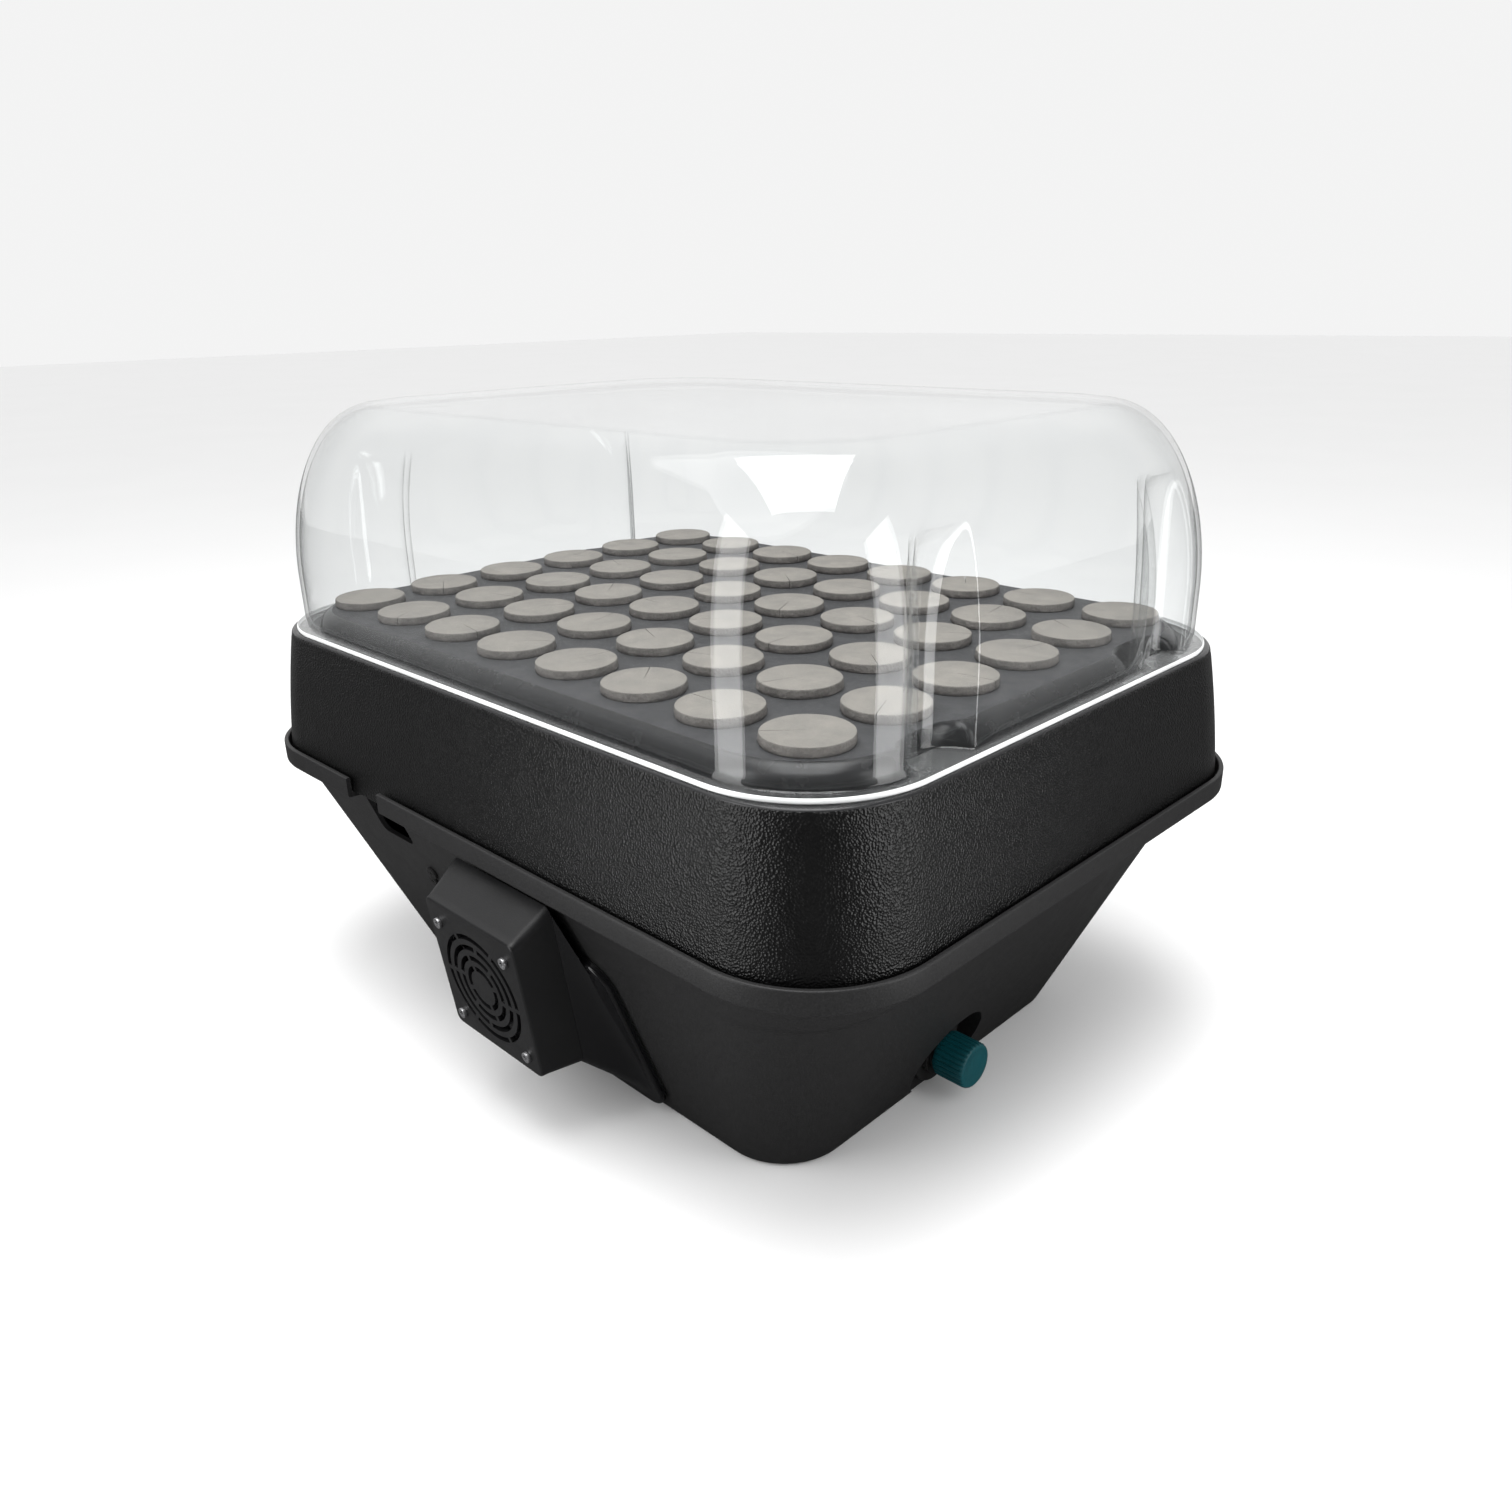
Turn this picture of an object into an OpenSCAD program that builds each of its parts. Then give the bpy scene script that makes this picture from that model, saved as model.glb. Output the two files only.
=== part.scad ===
// Aeroponic plant propagator: a tapered reservoir tub, a deep textured lid that carries rows of
// foam collars, and a clear humidity dome. A fan unit on the front wall blows air into the tub,
// and a pump on the floor feeds a spray manifold under the collars.
// Millimetres, +Z up. The origin is the centre of the tub's base, X runs along the long side,
// and the fan unit is on the -Y wall.

/* [Planting sites] */
// Distance between neighbouring sites
site_pitch = 63.5; // [60:0.5:64]
// Sites along the long side
site_columns = 8; // [6:1:8]
// Radius of a collar's head
collar_r = 25.4; // [22:0.1:25.6]
// Thickness of a collar
collar_h = 25; // [18:1:30]
// Height that a collar stands above the lid
collar_proud = 6; // [3:0.5:8]

/* [Reservoir] */
// Half length of the tub's base
tub_base_x = 204; // [190:1:210]
// Half width of the tub's base
tub_base_y = 158; // [150:1:162]
// Height of the underside of the rim
rim_z = 184; // [180:1:190]
// Height of the rim band
rim_h = 14.8; // [12:0.2:18]
// Half length over the rim
rim_x = 301.8; // [300:0.1:306]
// Half width over the rim
rim_y = 235.3; // [234:0.1:240]
// Corner radius of the rim
rim_corner = 79; // [70:1:84]
// Wall thickness of the tub
tub_wall = 3.5; // [2.5:0.1:4]

/* [Lid] */
// Height of the lid's flat top
lid_z = 297; // [292:1:300]
// Half length of the flat top
lid_top_x = 258; // [256:0.5:260]
// Wall thickness of the lid
lid_wall = 3.2; // [2.5:0.1:3.5]

/* [Dome] */
// Height of the dome's crown
dome_z = 446; // [420:1:470]
// Half length over the dome's flange
flange_x = 284.5; // [283:0.5:286]
// Wall thickness of the dome
dome_wall = 2.5; // [2:0.1:3]
// Depth of the finger flutes in the end walls
flute_depth = 20; // [10:1:21]
// Height at which the flutes run out
flute_top_z = 402; // [370:1:410]

/* [Fan unit] */
// Place of the centre of the cover's front face
fan_x = 27.6; // [20:0.1:35]
// Distance of that centre in front of the tub's middle
fan_front_y = 246.2; // [244:0.1:250]
// Height of that centre
fan_z = 107.7; // [104:0.1:110]
// Lean of the front face, top outward
fan_tilt = 7.4; // [5:0.1:9]
// Side of the square axial fan
fan_side = 80; // [80:0.5:80]
// Distance between neighbouring fan screws
screw_pitch = 71.5; // [71.5:0.1:71.5]

/* [Drain] */
// Distance of the drain from the middle of the end wall
drain_y = -12; // [-20:1:0]
// Height of the drain's centre line
drain_z = 29; // [28:0.5:32]
// Radius of the drain cap
drain_cap_r = 16; // [15.5:0.1:17]

/* [Pump and manifold] */
// Height of the spray bars
bar_z = 150; // [140:1:156]
// Outer radius of the water pipes
pipe_r = 10.65; // [10.65:0.05:10.7]

/* [Hidden] */
$fn = 64;

site_rows = 6;
plug_r = collar_r - 1.4;
site_hole_r = plug_r + 0.4;
collar_slit = 0.8;
rest_gap = 0.3;
cut = 1;

// Shell outlines: every level is a rounded rectangle, and the width is the length less a constant
length_less_width = rim_x - rim_y;
corner_steps = 9;
flute_steps = 8;
flute_share_y = 0.555;
flute_share_half = 0.104;

// Reservoir
wall_lean = 0.365;
end_lean = 0.475;
drain_end_lean = 0.42;
foot_h = 4;
foot_inset = 4;
shoulder_z = 150;
shoulder_h = 8;
rim_wall = 3.3;
ledge_t = 3.5;
ledge_z = rim_z + ledge_t;
base_corner = 46;
port_x = -123;
port_w = 42;

// Lid
lid_corner = 60;
skirt_x = rim_x - rim_wall - 1;
skirt_corner = 76;
skirt_z = ledge_z + rest_gap;
seat_z = lid_z - 12.3;
seat_x = flange_x + 1.5;

// Dome
flange_z = seat_z + rest_gap;
flange_h = 3;
dome_x = flange_x - 6;
dome_corner = 75;
shoulder_run = 52;
shoulder_rise = 120;
dome_shoulder_z = dome_z - 3 - shoulder_rise;
flute_fade_z = 330;
plug_end_z = lid_z + collar_proud - collar_h;

// Fan unit, in a frame at the middle of the front face with +Z up the face and -Y outward
cover_front_w = 96;
cover_front_h = 100;
cover_back_w = 104;
cover_back_h = 118;
cover_front_up = 1.8;
cover_back_up = 6;
cover_depth = 28;
cover_wall = 2.5;
cover_corner = 6;
fan_gap = 3.4;
fan_depth = 24;
fan_bore_r = 38;
fan_screw_r = 2;
slot_w = 3.6;
slot_rings = 4;
slot_first_r = 14;
slot_step = 7.6;
rotor_hub_r = 16.5;
blade_count = 7;
wall_angle = atan(wall_lean);
duct_w = 151;
duct_h = 134;
duct_z = 72;
duct_base_t = 4;
duct_rim = 24;
duct_corner = 18;
duct_wall = 2.5;
gasket_t = 1.5;
air_hole_r = 34;
air_hole_z = 82;
grommet_x = -95;
grommet_z = 131;
grommet_r = 5;

// Drain, along +X
pocket_x = 200;
pocket_r = 34;
drain_tail_r = 13;
drain_bore_r = 9;
drain_flange_r = 24;
drain_flange_t = 6;
spigot_x = 232;
drain_cap_x = 214;
drain_cap_len = 24;
cap_skin = 3.4;
drain_knurls = 28;

// Pump and manifold
pump_axis_z = 42;
pump_floor_z = 16;
pump_top_z = 76;
pump_w = 64;
pump_back_x = -85;
pump_front_x = 14;
strainer_front_x = 42;
chamber_r = 24;
rotor_well_r = 11.4;
pump_shaft_r = 2.5;
shaft_play = 0.06;
pipe_wall = 2.75;
fitting_r = 14;
fitting_reach = 26;
socket_start = 10;
bar_y = 2 * site_pitch;
bar_end = 222;
nozzle_x = [site_pitch, 3 * site_pitch];
nozzle_stub_r = 2.8;

// Distance from the tub's middle to the outside of the front wall at a height
function front_wall_y(z) = tub_base_y + wall_lean * (z - foot_h);

// Distance out to an end wall at y, where the corner curves in past the straight part
function end_x(half, side, corner, y) =
    let (past = max(0, abs(y) - (side - corner)))
    half - corner + sqrt(max(0, corner * corner - past * past));

// Points of one level of a plain shell, counter-clockwise from the +X wall. left and right are
// its half lengths and side its half width
function ring(left, right, side, corner, z) = [
    for (quarter = [0 : 3], k = [0 : corner_steps])
        let (
            a = 90 * (quarter + k / corner_steps),
            middle_x = (quarter == 0 || quarter == 3) ? right - corner : corner - left,
            middle_y = (side - corner) * (quarter < 2 ? 1 : -1)
        )
        [middle_x + corner * cos(a), middle_y + corner * sin(a), z]
];

// Points of one corner of a fluted level, which starts and ends a part turn from the end walls
function fluted_corner(half, side, corner, quarter, start, z) =
    let (
        from = 90 * quarter + (quarter % 2 == 0 ? start : 0),
        sweep = 90 - start,
        skip = quarter % 2 == 0 ? 1 : 0,
        middle_x = (half - corner) * ((quarter == 0 || quarter == 3) ? 1 : -1),
        middle_y = (side - corner) * (quarter < 2 ? 1 : -1)
    )
    [
        for (k = [skip : corner_steps + skip - 1])
            let (a = from + sweep * k / corner_steps)
            [middle_x + corner * cos(a), middle_y + corner * sin(a), z]
    ];

// Points across the two flutes of one end wall, which flute sinks inward
function fluted_end(half, side, corner, way, flute, width, z) = [
    for (place = [-way, way], k = [0 : flute_steps])
        let (
            a = 180 * k / flute_steps,
            y = place * flute_share_y * side - way * width * cos(a)
        )
        [way * (end_x(half, side, corner, y) - flute * sin(a)), y, z]
];

// Points of one level of the lid or dome, whose end walls carry flutes of a depth
function fluted_ring(half, corner, z, flute = 0, spare = 0) =
    let (
        side = half - length_less_width,
        width = flute_share_half * side + spare,
        past = flute_share_y * side + width - side + corner,
        start = asin(max(0, min(1, past / corner)))
    )
    concat(
        fluted_end(half, side, corner, 1, flute, width, z),
        fluted_corner(half, side, corner, 0, start, z),
        fluted_corner(half, side, corner, 1, start, z),
        fluted_end(half, side, corner, -1, flute, width, z),
        fluted_corner(half, side, corner, 2, start, z),
        fluted_corner(half, side, corner, 3, start, z)
    );

// Closed solid through a list of levels, with a flat cap on the first and the last
module loft(rings) {
    n = len(rings[0]);
    last = len(rings) - 1;
    first_hub = n * len(rings);
    hubs = [for (i = [0, last]) [0, 0, rings[i][0][2]]];
    caps = [
        for (k = [0 : n - 1])
            let (next = (k + 1) % n)
            each [[first_hub, k, next], [first_hub + 1, last * n + next, last * n + k]]
    ];
    sides = [
        for (i = [0 : last - 1], k = [0 : n - 1])
            let (a = i * n + k, b = i * n + (k + 1) % n)
            each [[a, a + n, b + n], [a, b + n, b]]
    ];
    polyhedron(concat([for (level = rings) each level], hubs), concat(caps, sides));
}

// Flat rounded rectangle
module rounded(w, h, r) {
    square([w - 2 * r, h], center = true);
    square([w, h - 2 * r], center = true);
    for (x = [-1, 1], y = [-1, 1])
        translate([x * (w / 2 - r), y * (h / 2 - r)])
            circle(r);
}

// Upright rounded panel that faces -Y and is depth thick behind its face
module panel(w, h, r, depth) {
    translate([0, depth, 0])
        rotate([90, 0, 0])
            linear_extrude(depth)
                rounded(w, h, r);
}

// Cylinder along +Y from the origin
module rod_y(r, length) {
    rotate([-90, 0, 0])
        cylinder(r = r, h = length);
}

// Cylinder along +X from a given x
module rod_x(r, from, to) {
    translate([from, 0, 0])
        rotate([0, 90, 0])
            cylinder(r = r, h = to - from);
}

// Plain tube along +X
module tube_x(r, bore, from, to) {
    difference() {
        rod_x(r, from, to);
        rod_x(bore, from - cut, to + cut);
    }
}

// ---- Reservoir ----

// Outside of the tub from the base up to the rim
function tub_outside() = [
    tub_level(0, foot_inset),
    tub_level(1.4, 1),
    tub_level(foot_h, 0),
    tub_level(shoulder_z, 0),
    tub_level(shoulder_z + shoulder_h, 0),
    tub_level(rim_z, 0)
];

// Half length of the drain end at a height: it steps out at the shoulder
function drain_end_x(z) =
    z <= shoulder_z
        ? tub_base_x + drain_end_lean * (z - foot_h)
        : tub_base_x + end_lean * (z - foot_h) - 3;

// Level of the tub's wall at a height, moved in by inset
function tub_level(z, inset) =
    ring(
        tub_base_x + end_lean * (z - foot_h) - inset,
        drain_end_x(z) - inset,
        front_wall_y(z) - inset,
        base_corner + 0.12 * (z - foot_h) - inset,
        z
    );

// Rim band and the ledge inside it
function tub_rim() = [
    ring(rim_x - 1.5, rim_x - 1.5, rim_y - 1.5, rim_corner - 1.5, rim_z),
    ring(rim_x, rim_x, rim_y, rim_corner, rim_z + 1.5),
    ring(rim_x, rim_x, rim_y, rim_corner, rim_z + rim_h - 0.8),
    ring(rim_x - 0.8, rim_x - 0.8, rim_y - 0.8, rim_corner - 0.8, rim_z + rim_h),
    ring(rim_x - rim_wall, rim_x - rim_wall, rim_y - rim_wall, rim_corner - rim_wall, rim_z + rim_h),
    ring(rim_x - rim_wall, rim_x - rim_wall, rim_y - rim_wall, rim_corner - rim_wall, ledge_z)
];

// Inside of the tub from the ledge down to the floor
function tub_inside() =
    let (in = tub_wall * 1.1)
    [
        tub_level(ledge_z, in),
        tub_level(shoulder_z + shoulder_h, in),
        tub_level(shoulder_z, in),
        tub_level(tub_wall + foot_h, in),
        ring(tub_base_x - in - 3, tub_base_x - in - 3, tub_base_y - in - 3, base_corner - 7, tub_wall)
    ];

// Round recess around the drain, r out from the drain's centre line
module drain_pocket(r, from) {
    translate([0, drain_y, drain_z])
        rod_x(r, from, tub_base_x + 40);
}

// Notch in the rim for leads that leave the tub under the lid
module lead_port() {
    translate([port_x, -rim_y - cut, rim_z - 14])
        panel(port_w, 36, 6, 40);
    translate([port_x - port_w / 2, -rim_y - cut, rim_z - 8])
        cube([port_w, 20, rim_h + 12]);
}

module reservoir() {
    color([0.16, 0.16, 0.17])
        difference() {
            union() {
                loft(concat(tub_outside(), tub_rim(), tub_inside()));
                intersection() {
                    loft([for (z = [1, 40, 90]) tub_level(z, tub_wall / 2)]);
                    drain_pocket(pocket_r + tub_wall, pocket_x - tub_wall);
                }
            }
            drain_pocket(pocket_r, pocket_x);
            drain_pocket(drain_tail_r + 0.4, pocket_x - 20);
            lead_port();
            at_wall(fan_x, air_hole_z)
                translate([0, -10, 0])
                    rod_y(air_hole_r, 30);
            for (side = [0, 1])
                at_wall(grommet_x - 5 * side, grommet_z - 9 * side)
                    translate([0, -5, 0])
                        rod_y(grommet_r - 1.6, 12);
        }
}

// Puts children on the front wall, with -Y straight out of it
module at_wall(x, z) {
    translate([x, -front_wall_y(z), z])
        rotate([wall_angle, 0, 0])
            children();
}

// ---- Lid ----

// Depth that keeps a lid level behind the dome's flutes
function lid_flute(half) = half - (dome_x - dome_wall - flute_depth - 2);

module lid() {
    roll_r = 12;
    flute_spare = 7;
    lid_low = seat_z - 6;
    middle_x = (seat_x + skirt_x) / 2 + 1.5;
    middle_z = (seat_z + skirt_z) / 2;
    top_in = lid_top_x - 6;
    roll_in = lid_top_x + 5;
    foot_in = lid_top_x + 8;
    seat_low = seat_z - lid_wall;
    inside = [
        fluted_ring(top_in, lid_corner - 6, lid_z - lid_wall, lid_flute(top_in) + 3, flute_spare),
        fluted_ring(roll_in, lid_corner, lid_z - 9, lid_flute(roll_in) + 4, flute_spare),
        fluted_ring(foot_in, lid_corner + 5, seat_low, lid_flute(foot_in) + 4, flute_spare),
        fluted_ring(seat_x - 9, lid_corner + 10, seat_low),
        fluted_ring(seat_x - 2.5, lid_corner + 12, lid_low),
        fluted_ring(middle_x - lid_wall, skirt_corner - 4, middle_z),
        fluted_ring(skirt_x - lid_wall, skirt_corner - lid_wall, skirt_z)
    ];
    outside = [
        fluted_ring(skirt_x, skirt_corner, skirt_z),
        fluted_ring(middle_x, skirt_corner - 1, middle_z),
        fluted_ring(seat_x + 1.2, skirt_corner - 3, lid_low),
        fluted_ring(seat_x + 0.8, skirt_corner - 3, seat_z - 1.5),
        fluted_ring(seat_x, skirt_corner - 3, seat_z),
        for (a = [90, 60, 30, 0])
            let (
                half = lid_top_x + roll_r * sin(a),
                z = lid_z - roll_r * (1 - cos(a)) - rest_gap * sin(a)
            )
            fluted_ring(half, lid_corner + 8 * sin(a), z, lid_flute(half), flute_spare)
    ];
    color([0.12, 0.12, 0.13])
        difference() {
            loft(concat(inside, outside));
            sites()
                translate([0, 0, plug_end_z - 1])
                    cylinder(r = site_hole_r, h = lid_z + cut - plug_end_z + 1);
        }
}

// ---- Dome ----

// Levels of one side of the dome's wall, moved in by inset, from the flange to the crown
function dome_levels(inset) =
    let (crown = dome_shoulder_z + shoulder_rise - inset, top_x = dome_x - shoulder_run)
    [
        for (z = [flange_z + flange_h, (flange_z + dome_shoulder_z) / 2, dome_shoulder_z])
            dome_level(dome_x - inset, z, inset),
        for (a = [10 : 10 : 90])
            let (z = dome_shoulder_z + (shoulder_rise - inset) * sin(a))
            dome_level(top_x - inset + shoulder_run * cos(a), z, inset),
        fluted_ring(140, 50, crown + 2),
        fluted_ring(90, 20, crown + 3)
    ];

// One level of the dome's wall, fluted below the height where the flutes run out
function dome_level(half, z, inset) =
    let (
        fade = max(0, 1 - pow(max(0, (z - flute_fade_z) / (flute_top_z - flute_fade_z)), 2)),
        corner = dome_corner - inset - 12 * (dome_x - inset - half) / shoulder_run
    )
    fluted_ring(half, corner, z, flute_depth * sqrt(fade), inset);

module dome() {
    outside = dome_levels(0);
    inside = dome_levels(dome_wall);
    top = len(inside) - 1;
    foot = [
        dome_level(dome_x - dome_wall, flange_z, dome_wall),
        fluted_ring(flange_x, dome_corner + 3, flange_z),
        fluted_ring(flange_x, dome_corner + 3, flange_z + flange_h)
    ];
    color([0.85, 0.9, 0.92, 0.3])
        loft(concat([for (k = [top : -1 : 0]) inside[k]], foot, outside));
}

// ---- Collars ----

// Repeats children at every site
module sites() {
    for (row = [0 : site_rows - 1])
        translate([0, row_y(row), 0])
            for (column = [0 : site_columns - 1])
                translate([column_x(column), 0, 0])
                    children();
}

function row_y(row) = (row - (site_rows - 1) / 2) * site_pitch;

function column_x(column) = (column - (site_columns - 1) / 2) * site_pitch;

// Foam plug with a head that rests on the lid and a slit for the cutting's stem
module collar(turn) {
    head_z = lid_z + rest_gap;
    top_z = lid_z + collar_proud;
    bottom_z = plug_end_z;
    difference() {
        union() {
            translate([0, 0, head_z])
                cylinder(r = collar_r, h = top_z - head_z);
            translate([0, 0, bottom_z])
                cylinder(r = plug_r, h = head_z - bottom_z);
        }
        rotate(turn)
            translate([0, -collar_slit / 2, bottom_z - cut])
                cube([collar_r + cut, collar_slit, collar_h + 2 * cut]);
    }
}

module collars_row(row) {
    color([0.67, 0.65, 0.62])
        translate([0, row_y(row), 0])
            for (column = [0 : site_columns - 1])
                translate([column_x(column), 0, 0])
                    collar(256 + 47 * column + 71 * row);
}

// ---- Fan unit ----

// Puts children in the frame of the cover's front face
module at_fan() {
    translate([fan_x, -fan_front_y, fan_z])
        rotate([fan_tilt, 0, 0])
            children();
}

// Puts children at the four fan screws
module at_screws() {
    for (x = [-1, 1], z = [-1, 1])
        translate([x * screw_pitch / 2, 0, z * screw_pitch / 2])
            children();
}

// One ring of curved air slots, with bridges between them
module slot_ring(r, bridges, turn) {
    difference() {
        circle(r + slot_w / 2);
        circle(r - slot_w / 2);
        for (k = [0 : bridges - 1])
            rotate(turn + 360 * k / bridges)
                translate([0, -1.6])
                    square([r + slot_w, 3.2]);
    }
}

module fan_cover() {
    inner = 2 * cover_wall;
    color([0.2, 0.2, 0.21])
        at_fan()
            difference() {
                hull() {
                    translate([0, 0, cover_front_up])
                        panel(cover_front_w, cover_front_h, cover_corner, 1);
                    translate([0, cover_depth - 1, cover_back_up])
                        panel(cover_back_w, cover_back_h, cover_corner, 1);
                }
                hull() {
                    translate([0, fan_gap - 0.4, cover_front_up])
                        panel(cover_front_w - inner, cover_front_h - inner, cover_corner - 2, 1);
                    translate([0, cover_depth, cover_back_up])
                        panel(cover_back_w - inner, cover_back_h - inner, cover_corner - 2, 1);
                }
                translate([0, fan_gap + cut, 0])
                    rotate([90, 0, 0])
                        linear_extrude(fan_gap + 2 * cut)
                            for (k = [0 : slot_rings - 1])
                                slot_ring(slot_first_r + slot_step * k, 4 + (k % 2) * 2, 20 + 33 * k);
                at_screws()
                    translate([0, -cut, 0])
                        rod_y(fan_screw_r + 0.2, fan_gap + 2 * cut);
            }
}

// Pan-head screw with a cross recess, head outside the cover
module cover_screw() {
    head_r = 3.6;
    head_t = 2.2;
    recess_w = 1.2;
    difference() {
        union() {
            translate([0, -head_t, 0])
                rod_y(head_r, head_t);
            rod_y(fan_screw_r, fan_gap + 16);
        }
        for (turn = [0, 90])
            rotate([0, turn, 0])
                translate([-2.2, -head_t - cut, -recess_w / 2])
                    cube([4.4, cut + 1.4, recess_w]);
    }
}

module fan_cover_screws() {
    color([0.8, 0.8, 0.82])
        at_fan()
            at_screws()
                cover_screw();
}

module fan_frame() {
    hub_plate_t = 2.5;
    hub_plate_y = fan_gap + fan_depth - hub_plate_t;
    color([0.08, 0.08, 0.08])
        at_fan() {
            difference() {
                translate([0, fan_gap, 0])
                    panel(fan_side, fan_side, 4, fan_depth);
                translate([0, fan_gap - cut, 0])
                    rod_y(fan_bore_r, fan_depth + 2 * cut);
                at_screws()
                    translate([0, fan_gap - cut, 0])
                        rod_y(fan_screw_r + 0.1, fan_depth + 2 * cut);
            }
            translate([0, hub_plate_y, 0])
                rod_y(rotor_hub_r - 1, hub_plate_t);
            for (turn = [45, 135, 225, 315])
                rotate([0, turn, 0])
                    translate([rotor_hub_r - 3, hub_plate_y, -1.5])
                        cube([fan_bore_r - rotor_hub_r + 3.5, hub_plate_t, 3]);
        }
}

module fan_motor() {
    stator_len = 13;
    stator_y = fan_gap + fan_depth - 2.5 - stator_len;
    color([0.55, 0.35, 0.2])
        at_fan()
            difference() {
                translate([0, stator_y, 0])
                    rod_y(12.5, stator_len);
                translate([0, stator_y - cut, 0])
                    rod_y(1.5 + shaft_play, stator_len - 1);
            }
}

module fan_rotor() {
    front_y = fan_gap + 1.5;
    cup_len = 18;
    blade_len = 17;
    color([0.1, 0.1, 0.1])
        at_fan() {
            difference() {
                translate([0, front_y, 0])
                    rod_y(rotor_hub_r, cup_len);
                translate([0, front_y + 2, 0])
                    rod_y(rotor_hub_r - 2, cup_len);
            }
            translate([0, front_y + 1, 0])
                rod_y(1.5, 15);
            intersection() {
                difference() {
                    translate([0, front_y, 0])
                        rod_y(fan_bore_r - 1.2, blade_len);
                    translate([0, front_y - cut, 0])
                        rod_y(rotor_hub_r - 0.8, blade_len + 2 * cut);
                }
                union()
                    for (k = [0 : blade_count - 1])
                        rotate([0, 360 * k / blade_count, 0])
                            translate([rotor_hub_r - 2, front_y + blade_len / 2, 0])
                                rotate([40, 0, 0])
                                    translate([0, -13, -0.8])
                                        cube([30, 26, 1.6]);
            }
        }
}

// Thin plate across the cover's back, smaller by shrink
module duct_mouth(shrink) {
    at_fan()
        translate([0, cover_depth, cover_back_up])
            panel(cover_back_w - shrink, cover_back_h - shrink, cover_corner, 0.5);
}

// Plate on the front wall, smaller than the duct's foot by shrink
module duct_foot(shrink, corner, thick) {
    at_wall(fan_x, duct_z)
        translate([0, -thick - gasket_t, 0])
            panel(duct_w - shrink, duct_h - shrink, corner, thick);
}

module air_duct() {
    color([0.1, 0.1, 0.1])
        difference() {
            union() {
                hull() {
                    duct_mouth(0);
                    duct_foot(duct_rim, 14, 1);
                }
                duct_foot(0, duct_corner, duct_base_t);
            }
            hull() {
                translate([0, -0.6, -0.1])
                    duct_mouth(2 * duct_wall);
                translate([0, 3, 0])
                    duct_foot(duct_rim + 2 * duct_wall, 12, 1);
            }
        }
}

module duct_gasket() {
    color([0.05, 0.05, 0.05])
        at_wall(fan_x, duct_z)
            difference() {
                translate([0, -gasket_t, 0])
                    panel(duct_w - 2, duct_h - 2, duct_corner - 1, gasket_t);
                translate([0, -gasket_t - cut, 0])
                    panel(duct_w - duct_rim, duct_h - duct_rim, 10, gasket_t + 2 * cut);
            }
}

module lead_grommets() {
    color([0.03, 0.03, 0.03])
        for (side = [0, 1])
            at_wall(grommet_x - 5 * side, grommet_z - 9 * side)
                difference() {
                    union() {
                        translate([0, -2.2, 0])
                            rod_y(grommet_r - side, 2.2);
                        rod_y(grommet_r - 1.7, tub_wall);
                    }
                    translate([0, -3, 0])
                        rod_y(1.5, tub_wall + 6);
                }
}

// ---- Drain ----

// Puts children on the drain's centre line
module at_drain() {
    translate([0, drain_y, drain_z])
        children();
}

module drain_fitting() {
    flange_from = pocket_x + 0.1;
    flange_to = flange_from + drain_flange_t;
    color([0.04, 0.04, 0.04])
        at_drain()
            difference() {
                union() {
                    rod_x(drain_flange_r, flange_from, flange_to);
                    rod_x(drain_tail_r + 4, flange_to, drain_cap_x - 3);
                    rod_x(drain_tail_r, pocket_x - 18, spigot_x);
                }
                rod_x(drain_bore_r, pocket_x - 20, spigot_x + cut);
            }
}

module drain_gasket() {
    inner_face = pocket_x - tub_wall;
    color([0.03, 0.03, 0.03])
        at_drain()
            tube_x(22, drain_tail_r + 0.2, inner_face - 2.6, inner_face - 0.1);
}

module drain_locknut() {
    nut_to = pocket_x - tub_wall - 2.8;
    color([0.04, 0.04, 0.04])
        at_drain()
            difference() {
                translate([nut_to - 8, 0, 0])
                    rotate([0, 90, 0])
                        cylinder(r = 23.5, h = 8, $fn = 6);
                rod_x(drain_tail_r + 0.1, nut_to - 10, nut_to + cut);
            }
}

module drain_cap() {
    cap_end = drain_cap_x + drain_cap_len;
    knurl_r = 1;
    color([0.12, 0.4, 0.42])
        at_drain()
            difference() {
                union() {
                    rod_x(drain_cap_r - 0.8, drain_cap_x, cap_end);
                    for (k = [0 : drain_knurls - 1])
                        rotate([360 * k / drain_knurls, 0, 0])
                            translate([0, 0, drain_cap_r - knurl_r])
                                rod_x(knurl_r, drain_cap_x + 1, cap_end - 1.5);
                }
                rod_x(drain_tail_r + 0.3, drain_cap_x - cut, cap_end - cap_skin);
            }
}

module drain_cap_washer() {
    color([0.05, 0.05, 0.05])
        at_drain()
            tube_x(drain_tail_r - 0.2, 6, spigot_x + 0.3, spigot_x + 2.3);
}

// ---- Pump ----

// Puts children on the pump's centre line, which runs along X
module at_pump() {
    translate([0, 0, pump_axis_z])
        children();
}

module pump_housing() {
    body_len = pump_front_x - pump_back_x;
    color([0.1, 0.12, 0.14])
        difference() {
            translate([pump_back_x + body_len / 2, 0, pump_floor_z])
                linear_extrude(pump_top_z - pump_floor_z)
                    rounded(body_len, pump_w, 10);
            at_pump() {
                rod_x(chamber_r, -12, pump_front_x + cut);
                rod_x(rotor_well_r, -62, 0);
                rod_x(pump_shaft_r - 0.02, -68, -60);
            }
            translate([0, 0, pump_axis_z])
                cylinder(r = pipe_r - pipe_wall, h = 60);
        }
}

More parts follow.
